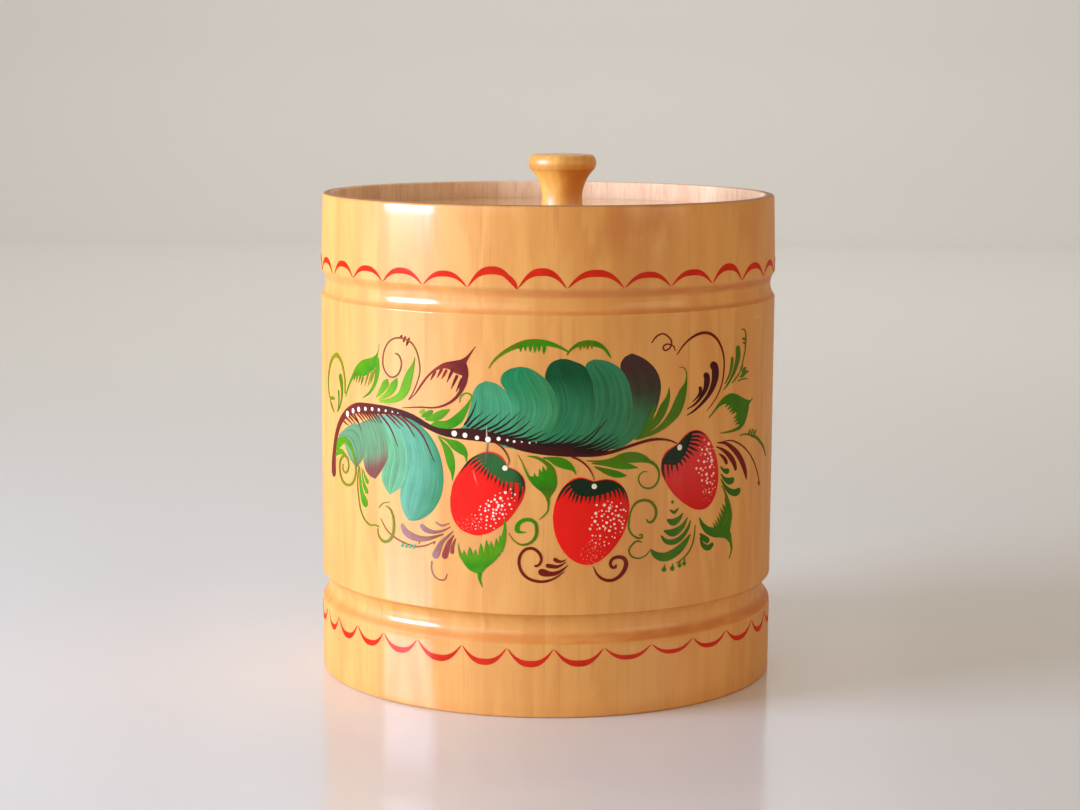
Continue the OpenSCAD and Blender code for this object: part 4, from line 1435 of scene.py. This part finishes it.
        # Toothed leaf over the right berry
        film.patch(((66.5, 110.2), (69.5, 112.8), (72, 115.1), (75.5, 117.3), (80, 118.1), (84, 117.2),
                    (88, 115.6), (92, 114.3), (94.5, 113.9), (96.3, 114.6)),
                   ((66.7, 109.8), (69.8, 112), (72.5, 113.7), (76, 114.4), (80, 113), (83.4, 111),
                    (87, 110.4), (91, 111.4), (94, 112.8), (96.3, 114.2)), "leaf_dark")
        film.patch(((82.2, 112), (84, 109.4), (85.2, 106.8), (85.8, 104)),
                   ((93.5, 112.8), (92.5, 109.5), (91.2, 107.1), (89.5, 105)), "leaf_dark")
        film.stroke([(89, 106, 2.2), (86.4, 104.5, 1.7), (82, 103.7, 1.1), (76, 103.5, 0.6),
                     (73, 103.6, 0.2)], "leaf_dark", "leaf_olive")
        film.comb(((75.8, 113.2), (77.2, 112), (78.6, 110.9), (79.9, 110), (81.5, 108), (82.1, 106.7),
                   (82.9, 105.5)), (-4.4, -2), 1.5, "leaf_dark")
        # Drops and a small fan at the top
        film.strokes((
            ((83.5, 136, 2.8), (84, 132, 3.2), (82.5, 128, 2.3), (80, 124.5, 1.3), (77, 121.5, 0.8),
             (75, 120, 0.3)),
            ((80, 132, 1.5), (79.8, 129, 1.9), (78.5, 125.5, 1.1), (76.5, 123, 0.7), (75.5, 122, 0.3)),
            ((85.8, 126, 0.7), (86.8, 127.3, 1.4), (87.8, 128.7, 0.5)),
            ((87, 125.5, 0.7), (88.7, 126.3, 1.6), (90.3, 127, 0.4)),
            ((87, 125, 0.7), (89.7, 125.2, 1.5), (92.3, 125.3, 0.3)),
            ((85.5, 123.8, 0.5), (87.6, 124.1, 1.3), (89.5, 124.3, 0.3))), "leaf_olive", "leaf_dark")
        # Drops beside the right berry
        film.strokes((
            ((73.7, 90.8, 0.4), (75.5, 89.2, 1.3), (78, 88.4, 2.2), (79.3, 88.4, 1.6)),
            ((74, 87.8, 0.4), (76.5, 85.6, 1.5), (80, 84.3, 2.7), (82.7, 84.7, 2)),
            ((74, 86, 0.4), (77, 82.5, 1.5), (81.5, 79.8, 2.5), (85.5, 79.5, 2.7), (87.3, 80.3, 2))),
            "leaf_deep")
        # Toothed leaf under the right berry
        film.patch(((74.5, 83.5), (76.5, 81.5), (78.7, 78.5), (80.8, 74.5), (81.6, 70.5), (81, 67.5),
                    (80.2, 64.5)),
                   ((74.4, 83.2), (76, 81), (77, 78), (77, 74.5), (76, 71.5), (75, 69), (74.2, 66)),
                   "leaf_olive", "leaf_dark")
        film.patch(((62.3, 72.5), (63.3, 69.3), (66, 66.1), (70, 64.1), (75, 63.1), (78, 62.2),
                    (80, 60.5)),
                   ((62.6, 72.6), (64.7, 70.2), (68, 68.3), (72, 67.5), (76, 68), (79.5, 67),
                    (80.8, 63)), "leaf_deep", "leaf_dark")
        film.comb(((70, 69.6), (71.2, 70.4), (72.3, 71.6), (73.3, 73), (74.3, 74.6), (75.3, 76.2),
                   (76.6, 78)), (-2.4, 4), 1.5, "leaf_dark")
        film.stroke([(79.9, 64.5, 2), (81.1, 60.5, 1.4), (81.7, 57.5, 0.9), (80, 54, 0.2)], "leaf_dark")
        # Sprigs under the right berry
        film.strokes((
            ((48.2, 77, 0.4), (50.2, 75.8, 1.3), (52.3, 77.3, 0.3)),
            ((47, 73.3, 0.7), (49.8, 72.1, 2.7), (52.5, 73.2, 1.8), (54.3, 75.2, 0.3)),
            ((45.8, 69.2, 0.8), (49.5, 68.1, 2.9), (54, 70, 1.9), (56.5, 73.2, 0.3)),
            ((44.5, 67.5, 0.5), (46.5, 65.3, 1.7), (50, 64.6, 2.2), (54.5, 66.5, 1.7), (57, 69.5, 1.1),
             (58, 72, 0.3)),
            ((40, 62.7, 0.5), (42.5, 60.3, 2.6), (46, 59.2, 3.3), (50.5, 60.3, 3.4), (55, 63.3, 2.5),
             (58, 66.7, 0.4))), "leaf_deep", "leaf_dark")
        film.strokes((
            ((62.8, 66.4, 0.4), (65.2, 64.3, 2.2), (67.8, 62.6, 2.5)),
            ((63, 65, 0.5), (64.5, 61.7, 1.7), (67.5, 60.3, 2.2), (70.2, 61.6, 1.6))), "leaf_deep")
        # Dots with short tails
        film.dots(((49.4, 79.8, 0.6), (46, 54.5, 0.95), (49.7, 54.5, 0.95), (53, 55.3, 0.85),
                   (55.2, 55.8, 0.8)), "leaf_dark")
        film.strokes(tuple(((s, z - 0.5, 1.1), (s + 0.2, z + 1.9, 0.25)) for s, z in
                           ((46, 54.5), (49.7, 54.5), (53, 55.3), (55.2, 55.8))), "leaf_dark")

    def far_left(self, film):
        """Drops, blades and the hanging leaflets on the left."""
        film.strokes((
            ((-98.5, 122.7, 3), (-97, 119.5, 2.9), (-96.3, 116, 2), (-97.2, 112.5, 1.4),
             (-99, 109.5, 0.9), (-101, 107.5, 0.3)),
            ((-100, 116.3, 1.8), (-99.5, 113.5, 1.3), (-100, 110, 0.9), (-101.3, 107.5, 0.3))),
            "leaf_olive")
        film.patch(((-103.2, 92.4), (-102, 96), (-98, 98.5), (-93, 98.5)),
                   ((-103, 92), (-99, 93.7), (-95.5, 95.6), (-93, 96.6)), "leaf_left")
        film.stroke([(-103.5, 90, 0.5), (-100.5, 91.8, 2.2), (-97, 92.5, 2.1), (-93, 91.4, 0.9)],
                    "leaf_left")
        film.strokes((
            ((-82.5, 89, 0.4), (-82.2, 84, 1.4), (-81.3, 79.5, 2.1), (-79.5, 76, 3.6), (-77.6, 74, 3)),
            ((-81, 88.5, 0.4), (-80.3, 84, 1), (-79, 81.2, 2), (-77.2, 79, 2.3)),
            ((-80, 88, 0.4), (-79, 85.5, 1.1), (-77.8, 84, 1.8), (-76.8, 83, 1.8))), "leaf_left")

    def execute(self, context):
        for name, paint in (("leaves_left", self.left_leaves), ("leaves_far_left", self.far_left),
                            ("leaves_below_stem", self.below_stem), ("leaves_top", self.top_arcs),
                            ("leaves_right", self.right_leaves)):
            film = PaintFilm(context, COAT.leaf)
            paint(film)
            film.piece(name)
        return {"FINISHED"}


class CANISTER_OT_buds(bpy.types.Operator):
    """Paints the brown bud and the brown and mauve comma strokes"""

    bl_idname = "canister.buds"
    bl_label = "Bud and commas"

    # Strokes through (s, z, width), by colour
    MAROON_COMMAS = (
        ((67, 130.3, 2.4), (69.3, 129.2, 3.6), (69.9, 126.2, 3.8), (69, 122.6, 3), (66.5, 119, 1.9),
         (62.5, 115.7, 1.2), (58, 113, 0.7), (55.5, 112, 0.3)),
        ((63.5, 126.6, 1.7), (65, 126, 2.8), (65.3, 123.6, 3), (64.5, 121, 2.3), (62.5, 118.5, 1.5),
         (59.5, 116, 0.9), (55.5, 114.3, 0.3)),
        ((61.2, 122.2, 1.2), (62, 121.4, 1.7), (61.9, 120.1, 1.5), (60.5, 118.5, 0.8), (58, 116.8, 0.3)))
    BROWN_COMMAS = (
        ((72.7, 95.8, 0.4), (75.5, 94, 1.4), (77.3, 92, 1.7), (77.8, 91, 1)),
        ((71, 98.7, 0.4), (75, 97, 1.2), (79.5, 94, 2.2), (82.5, 91, 2.4), (84, 88, 1.7)),
        ((71.5, 100.1, 0.4), (76, 99.5, 1.1), (81, 97, 2), (86, 93.2, 2.6), (90, 88.5, 2.7),
         (91.8, 85, 1.8), (92.2, 83.3, 0.5)),
        ((-2.9, 56, 2.2), (-1.2, 55.5, 2.7), (1.5, 55, 1.9), (4, 55.4, 1.4), (6, 56.5, 0.9),
         (8, 58.3, 0.2)),
        ((-0.2, 58.2, 1.5), (1.8, 57.9, 1.6), (4, 57.7, 1.2), (5.8, 58.4, 0.7), (7.4, 59.6, 0.2)),
        ((2.7, 60.9, 1.4), (3.8, 60, 1.5), (5.4, 59.6, 0.9), (7.4, 60.4, 0.2)))
    MAUVE_COMMAS = (
        ((-58.5, 70, 1.4), (-56.5, 67.1, 2.8), (-52, 65.4, 2.6), (-47, 65.5, 1.8), (-43, 66.7, 1.1),
         (-39.5, 68, 0.4)),
        ((-49.5, 70.8, 1.6), (-47.5, 69.1, 2.2), (-44, 68.4, 1.5), (-40.5, 69, 0.9), (-36.5, 71, 0.3)),
        ((-43, 72.3, 0.7), (-40.5, 71.2, 0.8), (-37, 72.3, 0.3)),
        ((-43.5, 58.5, 3.1), (-42, 61.5, 2.7), (-40.5, 64.5, 1.7), (-37.5, 67.5, 0.9),
         (-35.5, 69.5, 0.3)),
        ((-44.5, 57.4, 0.7), (-44.6, 54, 0.6), (-43.5, 51.8, 0.6), (-41, 50.5, 0.6), (-39, 50.8, 0.5),
         (-38, 53, 0.3)))
    RED_COMMAS = (
        ((-39.3, 58.7, 2.6), (-38.3, 62, 2.3), (-37.2, 65, 1.6), (-35.2, 68, 0.4)),
        ((-36, 60.8, 1.6), (-35.8, 63.5, 1.4), (-34.5, 66.8, 0.4)),
        ((-43.6, 63.8, 0.6), (-43.1, 65, 0.3)), ((-50.3, 63.2, 0.5), (-49.8, 64.4, 0.3)))

    def execute(self, context):
        bud = PaintFilm(context, COAT.leaf)
        bud.patch(((-55, 117.3), (-52, 120), (-49.5, 123.5), (-46.5, 127), (-43, 130), (-39, 132.3),
                   (-35, 133.2), (-32, 134), (-30, 135.4), (-28.4, 137.1), (-26.8, 139)),
                  ((-54.7, 117.1), (-51.6, 119.7), (-48.8, 123), (-45.6, 126.8), (-42, 129.4),
                   (-38, 130.1), (-34.6, 128.6), (-31.4, 128), (-30.2, 132.8), (-28.4, 136),
                   (-26.6, 138.9)), "bud", "bud", "bud", "bud_dark", "bud")
        bud.stroke([(-30.9, 132.6, 1.4), (-30.7, 129, 2.4), (-31.1, 125.3, 2), (-32.6, 121.9, 1.4),
                    (-35, 119, 1.1), (-38.3, 116.8, 0.9), (-42, 115.5, 0.7), (-50, 114.9, 0.6),
                    (-58, 114, 0.3)], "bud_dark", "bud")
        bud.comb(((-45, 125.3), (-42.2, 126.4), (-40.3, 126)), (-2.2, -3.8), 1.2, "bud")
        bud.comb(((-38.1, 125), (-36.4, 122.6), (-34.4, 121.6), (-33.1, 122.6)), (-2.6, -5.4), 1.2,
                 "bud_dark")
        bud.piece("bud")
        commas = PaintFilm(context, COAT.leaf)
        commas.strokes(self.MAROON_COMMAS, "maroon")
        commas.strokes(self.BROWN_COMMAS, "brown")
        commas.strokes(self.MAUVE_COMMAS, "mauve", "brown_pale")
        commas.strokes(self.RED_COMMAS, "red_mauve")
        commas.piece("commas")
        return {"FINISHED"}


class CANISTER_OT_tendrils(bpy.types.Operator):
    """Paints the thin curls and tendrils"""

    bl_idname = "canister.tendrils"
    bl_label = "Tendrils"

    # Strokes through (s, z, width), by colour
    BROWN_CURLS = (
        ((39.5, 140, 0.4), (41.5, 142.3, 0.6), (44, 143.2, 0.6), (46.5, 142, 0.6), (48, 140, 0.6),
         (47.8, 138.5, 0.6), (46.5, 137.2, 0.6), (45, 137, 0.6), (44.3, 138, 0.6), (45.3, 139.1, 0.6),
         (47.5, 139, 0.5), (49, 138.2, 0.5), (49.7, 136.5, 0.3)),
        ((50.5, 135, 0.3), (53, 138, 0.6), (56, 140.3, 0.8), (60, 142, 1), (64, 142.4, 1.1),
         (67.5, 141.5, 1.1), (71, 139, 1), (73.5, 135.5, 0.9), (74.8, 131.5, 0.8), (74.8, 127, 0.7),
         (73.8, 122.5, 0.6), (71.5, 118.5, 0.5), (68.5, 115.3, 0.4), (65.5, 112.8, 0.2)),
        ((75, 100.2, 0.3), (80, 100, 0.5), (86, 98, 0.6), (92, 94.8, 0.6), (97, 91, 0.6), (101, 87, 0.6),
         (104, 83, 0.6), (105.3, 81, 0.4)),
        ((103.6, 80.8, 0.4), (105, 80, 1), (106.4, 79.2, 0.4)),
        ((104.4, 79, 0.4), (105, 80, 0.8), (105.6, 81.2, 0.4)),
        ((17.5, 57.5, 0.3), (19, 54.5, 0.8), (21.5, 52.5, 1.1), (24.5, 52, 1.2), (27.5, 53.3, 1.4),
         (29.7, 56, 1.7), (30.2, 58.3, 1.7), (29.2, 60.1, 1.5), (27, 60.7, 1.3), (24.8, 60, 1.2),
         (24, 58.3, 1.2), (24.8, 56.9, 1.1), (26.1, 57, 1), (26.2, 58, 0.6)),
        ((-4.4, 57.8, 0.9), (-2.8, 58.3, 0.9), (-1.8, 60.5, 1), (-2.8, 63, 1.1), (-5, 64.5, 1.1),
         (-7.5, 64.2, 1.1), (-9.5, 62, 1.1), (-10.1, 59.5, 1.1), (-9.5, 56.5, 1.1), (-7.5, 53.8, 1.1),
         (-4.5, 52.4, 1.1), (-1, 52.1, 1), (3, 53.3, 0.7), (6.8, 55.9, 0.2)),
        ((-57.9, 141.3, 0.4), (-58.4, 140.7, 0.9), (-58.9, 140.1, 0.4)),
        ((-56.2, 141, 0.4), (-56.8, 139.9, 1.1), (-57.4, 138.6, 0.4)),
        ((-54.4, 140.6, 0.4), (-55.1, 139.2, 1.2), (-55.9, 137.4, 0.3)))
    PALE_CURLS = (
        ((-61.5, 134.2, 0.6), (-59.8, 133.7, 0.7), (-58.4, 131.5, 0.7), (-58.7, 128.5, 0.7),
         (-60.5, 126, 0.7), (-63.3, 125, 0.6), (-66, 126.2, 0.6), (-67.8, 129, 0.6), (-67.8, 132.5, 0.6),
         (-66.5, 136, 0.6), (-64, 138.7, 0.6), (-60.8, 140, 0.7), (-57, 140, 0.8), (-53.5, 138.7, 0.7),
         (-51.3, 136, 0.6), (-50, 132, 0.5), (-49.7, 128.5, 0.5), (-51, 124, 0.45), (-53, 120, 0.4),
         (-55, 117.3, 0.3)),
        ((-69.5, 70.5, 0.3), (-66, 66.5, 0.5), (-62, 64.3, 0.6), (-57, 62.8, 0.6), (-52, 62, 0.6),
         (-47, 63, 0.6), (-43, 65, 0.3)))
    BROAD_CURL = (
        (-7.5, 70.6, 0.2), (-9.6, 70.5, 0.9), (-10.7, 71, 1.7), (-10.8, 72.4, 1.7), (-9.9, 74.1, 1.5),
        (-7.8, 75.2, 1.4), (-5.5, 75.1, 1.3), (-4, 73.9, 1.2), (-3.6, 72, 1.2), (-3.7, 69.8, 1.2),
        (-4.8, 67.6, 1.1), (-7, 66.1, 0.9), (-9.6, 65.9, 0.7), (-12.2, 67.5, 0.5), (-14.1, 70.1, 0.2))
    GREEN_CURLS = (
        ((38.2, 74.3, 0.5), (39, 73.1, 0.8), (40.3, 73, 0.9), (41.7, 74.3, 1), (42.3, 76.5, 1.1),
         (41.5, 79, 1.1), (39.5, 80.9, 1.1), (36.5, 81.5, 1), (33.7, 80.5, 0.9), (32, 78, 0.7),
         (31.2, 74.5, 0.7), (31.2, 71, 0.7), (32.3, 69, 0.7), (34, 67.7, 0.8), (35.5, 67.2, 0.8),
         (36.7, 67.8, 0.7), (36.2, 68.6, 0.6), (35.2, 68.4, 0.4)),
        ((36.5, 65.7, 0.4), (34.5, 66.2, 0.7), (32.5, 65, 0.7), (31.3, 63, 0.7), (32, 61, 0.7),
         (33.8, 59.9, 0.6), (36, 59.7, 0.5), (38.5, 60.8, 0.4), (39.8, 62.3, 0.3)),
        ((60.3, 70, 0.3), (60, 66, 0.6), (58.5, 61.5, 0.6), (55.5, 58.3, 0.6), (51.5, 56.2, 0.4)),
        ((86, 142, 0.3), (88.5, 141.5, 0.6), (89.6, 139.5, 0.7), (89.5, 136, 0.8), (89, 133, 0.7),
         (88, 130.5, 0.6), (87, 128, 0.4)),
        ((86.8, 138.4, 0.4), (88.3, 138.1, 1.1), (89.6, 137.8, 0.6)),
        ((87.4, 136.9, 0.4), (88.6, 136.5, 1), (89.6, 136, 0.6)),
        ((86, 126, 0.5), (83, 123.7, 0.6), (80, 122, 0.3)),
        ((84, 122.3, 0.3), (88, 122.8, 0.5), (91.5, 122.5, 0.3)),
        ((86, 101.2, 0.3), (91, 101.1, 0.6), (96, 100, 1), (101, 98.5, 1.2), (106, 96, 1.3),
         (111, 93, 1.1), (114.5, 89.5, 0.4)),
        ((93, 100.6, 0.6), (94.2, 101.7, 1.1), (95, 102.6, 0.4)),
        ((95.5, 100.3, 0.6), (96.8, 101.5, 1.2), (97.8, 102.3, 0.4)),
        ((97.8, 99.8, 0.6), (99.3, 100.7, 1.2), (100.8, 101.3, 0.4)),
        ((96, 99.6, 0.5), (97.5, 99.4, 1), (99, 99.3, 0.4)))
    OLIVE_CURLS = (
        ((-93.6, 115.5, 0.8), (-93.5, 119.5, 1.1), (-94.8, 124.5, 1.3), (-97.4, 128, 1.6),
         (-101, 129.6, 1.8), (-105, 128.6, 1.6), (-108.5, 126.4, 1.6), (-111.3, 123, 1.6),
         (-113, 119, 1.6), (-112.9, 115.5, 1.5), (-111.8, 113, 1.3), (-110, 111.4, 0.9)),
        ((-110.6, 111.4, 0.9), (-107.5, 112.1, 1.5), (-104, 112.3, 0.5)),
        ((-110.4, 110.7, 0.9), (-107.5, 108.7, 1.5), (-104.8, 106.8, 0.5)),
        ((-83, 89, 0.4), (-84, 83, 0.8), (-83.3, 77, 0.8), (-81.5, 71.5, 0.8), (-79, 68.5, 0.8),
         (-75.5, 67.1, 0.8), (-73, 67.5, 0.7), (-70.2, 67.2, 0.5)),
        ((-71.2, 66.5, 0.5), (-70.7, 64, 0.8), (-69, 62.3, 1), (-67, 61.9, 1.2), (-64.5, 63, 1.3),
         (-62.8, 65.5, 1.3), (-62.3, 69, 1.2), (-62.8, 72.5, 1), (-64.5, 75, 0.8), (-66.5, 75.8, 0.4)),
        ((-70.5, 74.5, 0.3), (-68, 76.6, 0.5), (-64.5, 77.4, 0.3)))
    SPIRAL = (
        (-95.5, 88, 0.5), (-96, 86.2, 0.76), (-94.3, 84.8, 0.84), (-92, 85.5, 0.84), (-90.7, 87.8, 0.84),
        (-91.3, 90.2, 0.92), (-93.5, 91.3, 1.01), (-96.5, 90.5, 1.09), (-98.8, 88, 1.18),
        (-99, 85, 1.26), (-97.3, 82, 1.18), (-94, 80.4, 1.09), (-90.5, 80.4, 1.01), (-87.3, 82, 0.92),
        (-85.5, 85, 1.01), (-85.2, 88.5, 1.09), (-86.5, 92.5, 1.43), (-90, 96.4, 2.18),
        (-94, 97.8, 2.02), (-98, 97.4, 0.84))
    LEAFLETS = tuple(((s - 0.4, 61, 1.3), (s + 0.5, 62.8, 0.6)) for s in (-58, -56, -54.3, -52.4))

    def execute(self, context):
        film = PaintFilm(context, COAT.curl)
        film.strokes(self.BROWN_CURLS, "brown")
        film.strokes(self.PALE_CURLS, "brown_pale")
        film.stroke(self.BROAD_CURL, "leaf", "leaf", "leaf_dark", "leaf_curl", "olive")
        film.strokes(self.GREEN_CURLS, "leaf_curl")
        film.strokes(self.OLIVE_CURLS, "olive")
        film.stroke(self.SPIRAL, "olive", "olive", "leaf_left", layer=3)
        film.strokes(self.LEAFLETS, "sea_pale")
        film.piece("tendrils")
        return {"FINISHED"}


class CANISTER_OT_stage(bpy.types.Operator):
    """Sets the pale floor, the soft lights and the camera"""

    bl_idname = "canister.stage"
    bl_label = "Stage"

    # Middle of the canister, where most lights aim
    MIDDLE = (0, 0, 0.1)
    # Name, place, aim, width, height, power and shade of each soft light
    LAMPS = (
        ("window", (-1.07, -0.37, 0.36), MIDDLE, 0.6, 0.38, 17.2, (0.89, 1.0, 1.4)),
        ("fill", (1.5, -1.1, 0.6), MIDDLE, 1.2, 0.9, 6.8, (1, 0.69, 0.51)),
        ("front", (-0.75, -1.25, 0.6), MIDDLE, 1.0, 0.8, 3.5, (0.98, 0.98, 0.92)),
        ("backdrop", (0, 0.9, 2.2), (0, 3.0, 0.9), 2.0, 1.0, 40, (0.97, 0.99, 1.05)))
    ROOM_COLOUR = (1.0, 0.87, 0.76, 1)
    ROOM_STRENGTH = 0.33

    # The floor's front end, half its width, where it starts to bend, the bend's radius, and its top
    FLOOR_FRONT = -4.0
    FLOOR_HALF = 5.0
    BEND_START = 2.2
    BEND_RADIUS = 1.0
    BACKDROP_TOP = 4.0

    # The measured camera: its place in metres, its turns in degrees and its lens in millimetres
    CAMERA_PLACE = (0.00208, -0.94707, 0.24274)
    CAMERA_YAW = -0.3004
    CAMERA_PITCH = 8.289
    CAMERA_ROLL = 0.3226
    LENS = 79.04

    def floor(self, context):
        """A floor that sweeps up into a backdrop: flat, then a quarter round, then upright."""
        bend = np.linspace(0, math.pi / 2, 24)
        line = np.concatenate([
            [[self.FLOOR_FRONT, 0.0]],
            np.stack([self.BEND_START + self.BEND_RADIUS * np.sin(bend),
                      self.BEND_RADIUS - self.BEND_RADIUS * np.cos(bend)], -1),
            [[self.BEND_START + self.BEND_RADIUS, self.BACKDROP_TOP]]])
        across = np.linspace(-self.FLOOR_HALF, self.FLOOR_HALF, 5)[:, None]
        points = np.stack(np.broadcast_arrays(across, line[:, 0], line[:, 1]), -1)
        index = np.arange(points.shape[0] * points.shape[1]).reshape(points.shape[:2])
        mesh = bpy.data.meshes.new("floor")
        mesh.from_pydata(points.reshape(-1, 3).tolist(), [], grid_quads(index).tolist())
        mesh.shade_smooth()
        material, w, shader = new_material("pale_floor")
        place = w.node("ShaderNodeTexCoord").outputs["Object"]
        colour = linear(context.scene.canister_wood.floor)
        darker = 0.98 * colour
        drift = w.mix(w.noise(place, 3.0, scale=3.0), (*darker, 1), (*colour, 1))
        w.link(drift, shader.inputs["Base Color"])
        shader.inputs["Roughness"].default_value = 0.15
        mesh.materials.append(material)
        floor = bpy.data.objects.new("floor", mesh)
        context.scene.collection.objects.link(floor)

    @staticmethod
    def lamp(context, name, place, aim, width, height, power, shade):
        """A rectangular soft light at a place, turned towards a point."""
        light = bpy.data.lights.new(name, "AREA")
        light.shape = "RECTANGLE"
        light.size, light.size_y = width, height
        light.energy = power
        light.color = shade
        lamp = bpy.data.objects.new(name, light)
        lamp.location = place
        lamp.visible_camera = False
        lamp.rotation_euler = (Vector(aim) - Vector(place)).to_track_quat("-Z", "Y").to_euler()
        context.scene.collection.objects.link(lamp)

    def camera(self, context):
        """The camera at the measured place: turned by yaw, tipped down by pitch, then rolled."""
        yaw, pitch = math.radians(self.CAMERA_YAW), math.radians(self.CAMERA_PITCH)
        roll = math.radians(self.CAMERA_ROLL)
        level = math.cos(pitch)
        forward = Vector((math.sin(yaw) * level, math.cos(yaw) * level, -math.sin(pitch)))
        side = Vector((math.cos(yaw), -math.sin(yaw), 0))
        above = side.cross(forward)
        right = side * math.cos(roll) + above * math.sin(roll)
        up = above * math.cos(roll) - side * math.sin(roll)
        data = bpy.data.cameras.new("camera")
        data.lens = self.LENS
        data.sensor_width = 36
        data.sensor_fit = "HORIZONTAL"
        camera = bpy.data.objects.new("camera", data)
        turn = Matrix((right, up, -forward)).transposed().to_4x4()
        camera.matrix_world = Matrix.Translation(self.CAMERA_PLACE) @ turn
        context.scene.collection.objects.link(camera)
        context.scene.camera = camera

    def execute(self, context):
        self.floor(context)
        self.camera(context)
        for lamp in self.LAMPS:
            self.lamp(context, *lamp)
        world = bpy.data.worlds.new("soft_room")
        world.use_nodes = True
        background = world.node_tree.nodes["Background"]
        background.inputs["Color"].default_value = self.ROOM_COLOUR
        background.inputs["Strength"].default_value = self.ROOM_STRENGTH
        context.scene.world = world
        context.scene.view_settings.view_transform = "Standard"
        return {"FINISHED"}


OPERATORS = (
    CANISTER_OT_staves,
    CANISTER_OT_boards,
    CANISTER_OT_knob,
    CANISTER_OT_scallops,
    CANISTER_OT_stem,
    CANISTER_OT_feathered_leaves,
    CANISTER_OT_berries,
    CANISTER_OT_green_leaves,
    CANISTER_OT_buds,
    CANISTER_OT_tendrils,
    CANISTER_OT_stage,
)


class CANISTER_PT_panel(bpy.types.Panel):
    """Lists the steps that build the canister"""

    bl_idname = "CANISTER_PT_panel"
    bl_label = "Canister"
    bl_space_type = "VIEW_3D"
    bl_region_type = "UI"
    bl_category = "Canister"

    def draw(self, context):
        for operator in OPERATORS:
            self.layout.operator(operator.bl_idname)


GROUPS = (CanisterSizes, WoodColours, PaintColours)
CLASSES = (*GROUPS, *OPERATORS, CANISTER_PT_panel)


def register():
    for cls in CLASSES:
        bpy.utils.register_class(cls)
    bpy.types.Scene.canister_sizes = PointerProperty(type=CanisterSizes)
    bpy.types.Scene.canister_wood = PointerProperty(type=WoodColours)
    bpy.types.Scene.canister_paint = PointerProperty(type=PaintColours)


def unregister():
    del bpy.types.Scene.canister_paint
    del bpy.types.Scene.canister_wood
    del bpy.types.Scene.canister_sizes
    for cls in reversed(CLASSES):
        bpy.utils.unregister_class(cls)


def main():
    """Builds everything in order."""
    register()
    bpy.ops.canister.staves()
    bpy.ops.canister.boards()
    bpy.ops.canister.knob()
    bpy.ops.canister.scallops()
    bpy.ops.canister.stem()
    bpy.ops.canister.feathered_leaves()
    bpy.ops.canister.berries()
    bpy.ops.canister.green_leaves()
    bpy.ops.canister.buds()
    bpy.ops.canister.tendrils()
    bpy.ops.canister.stage()


if __name__ == "__main__":
    main()
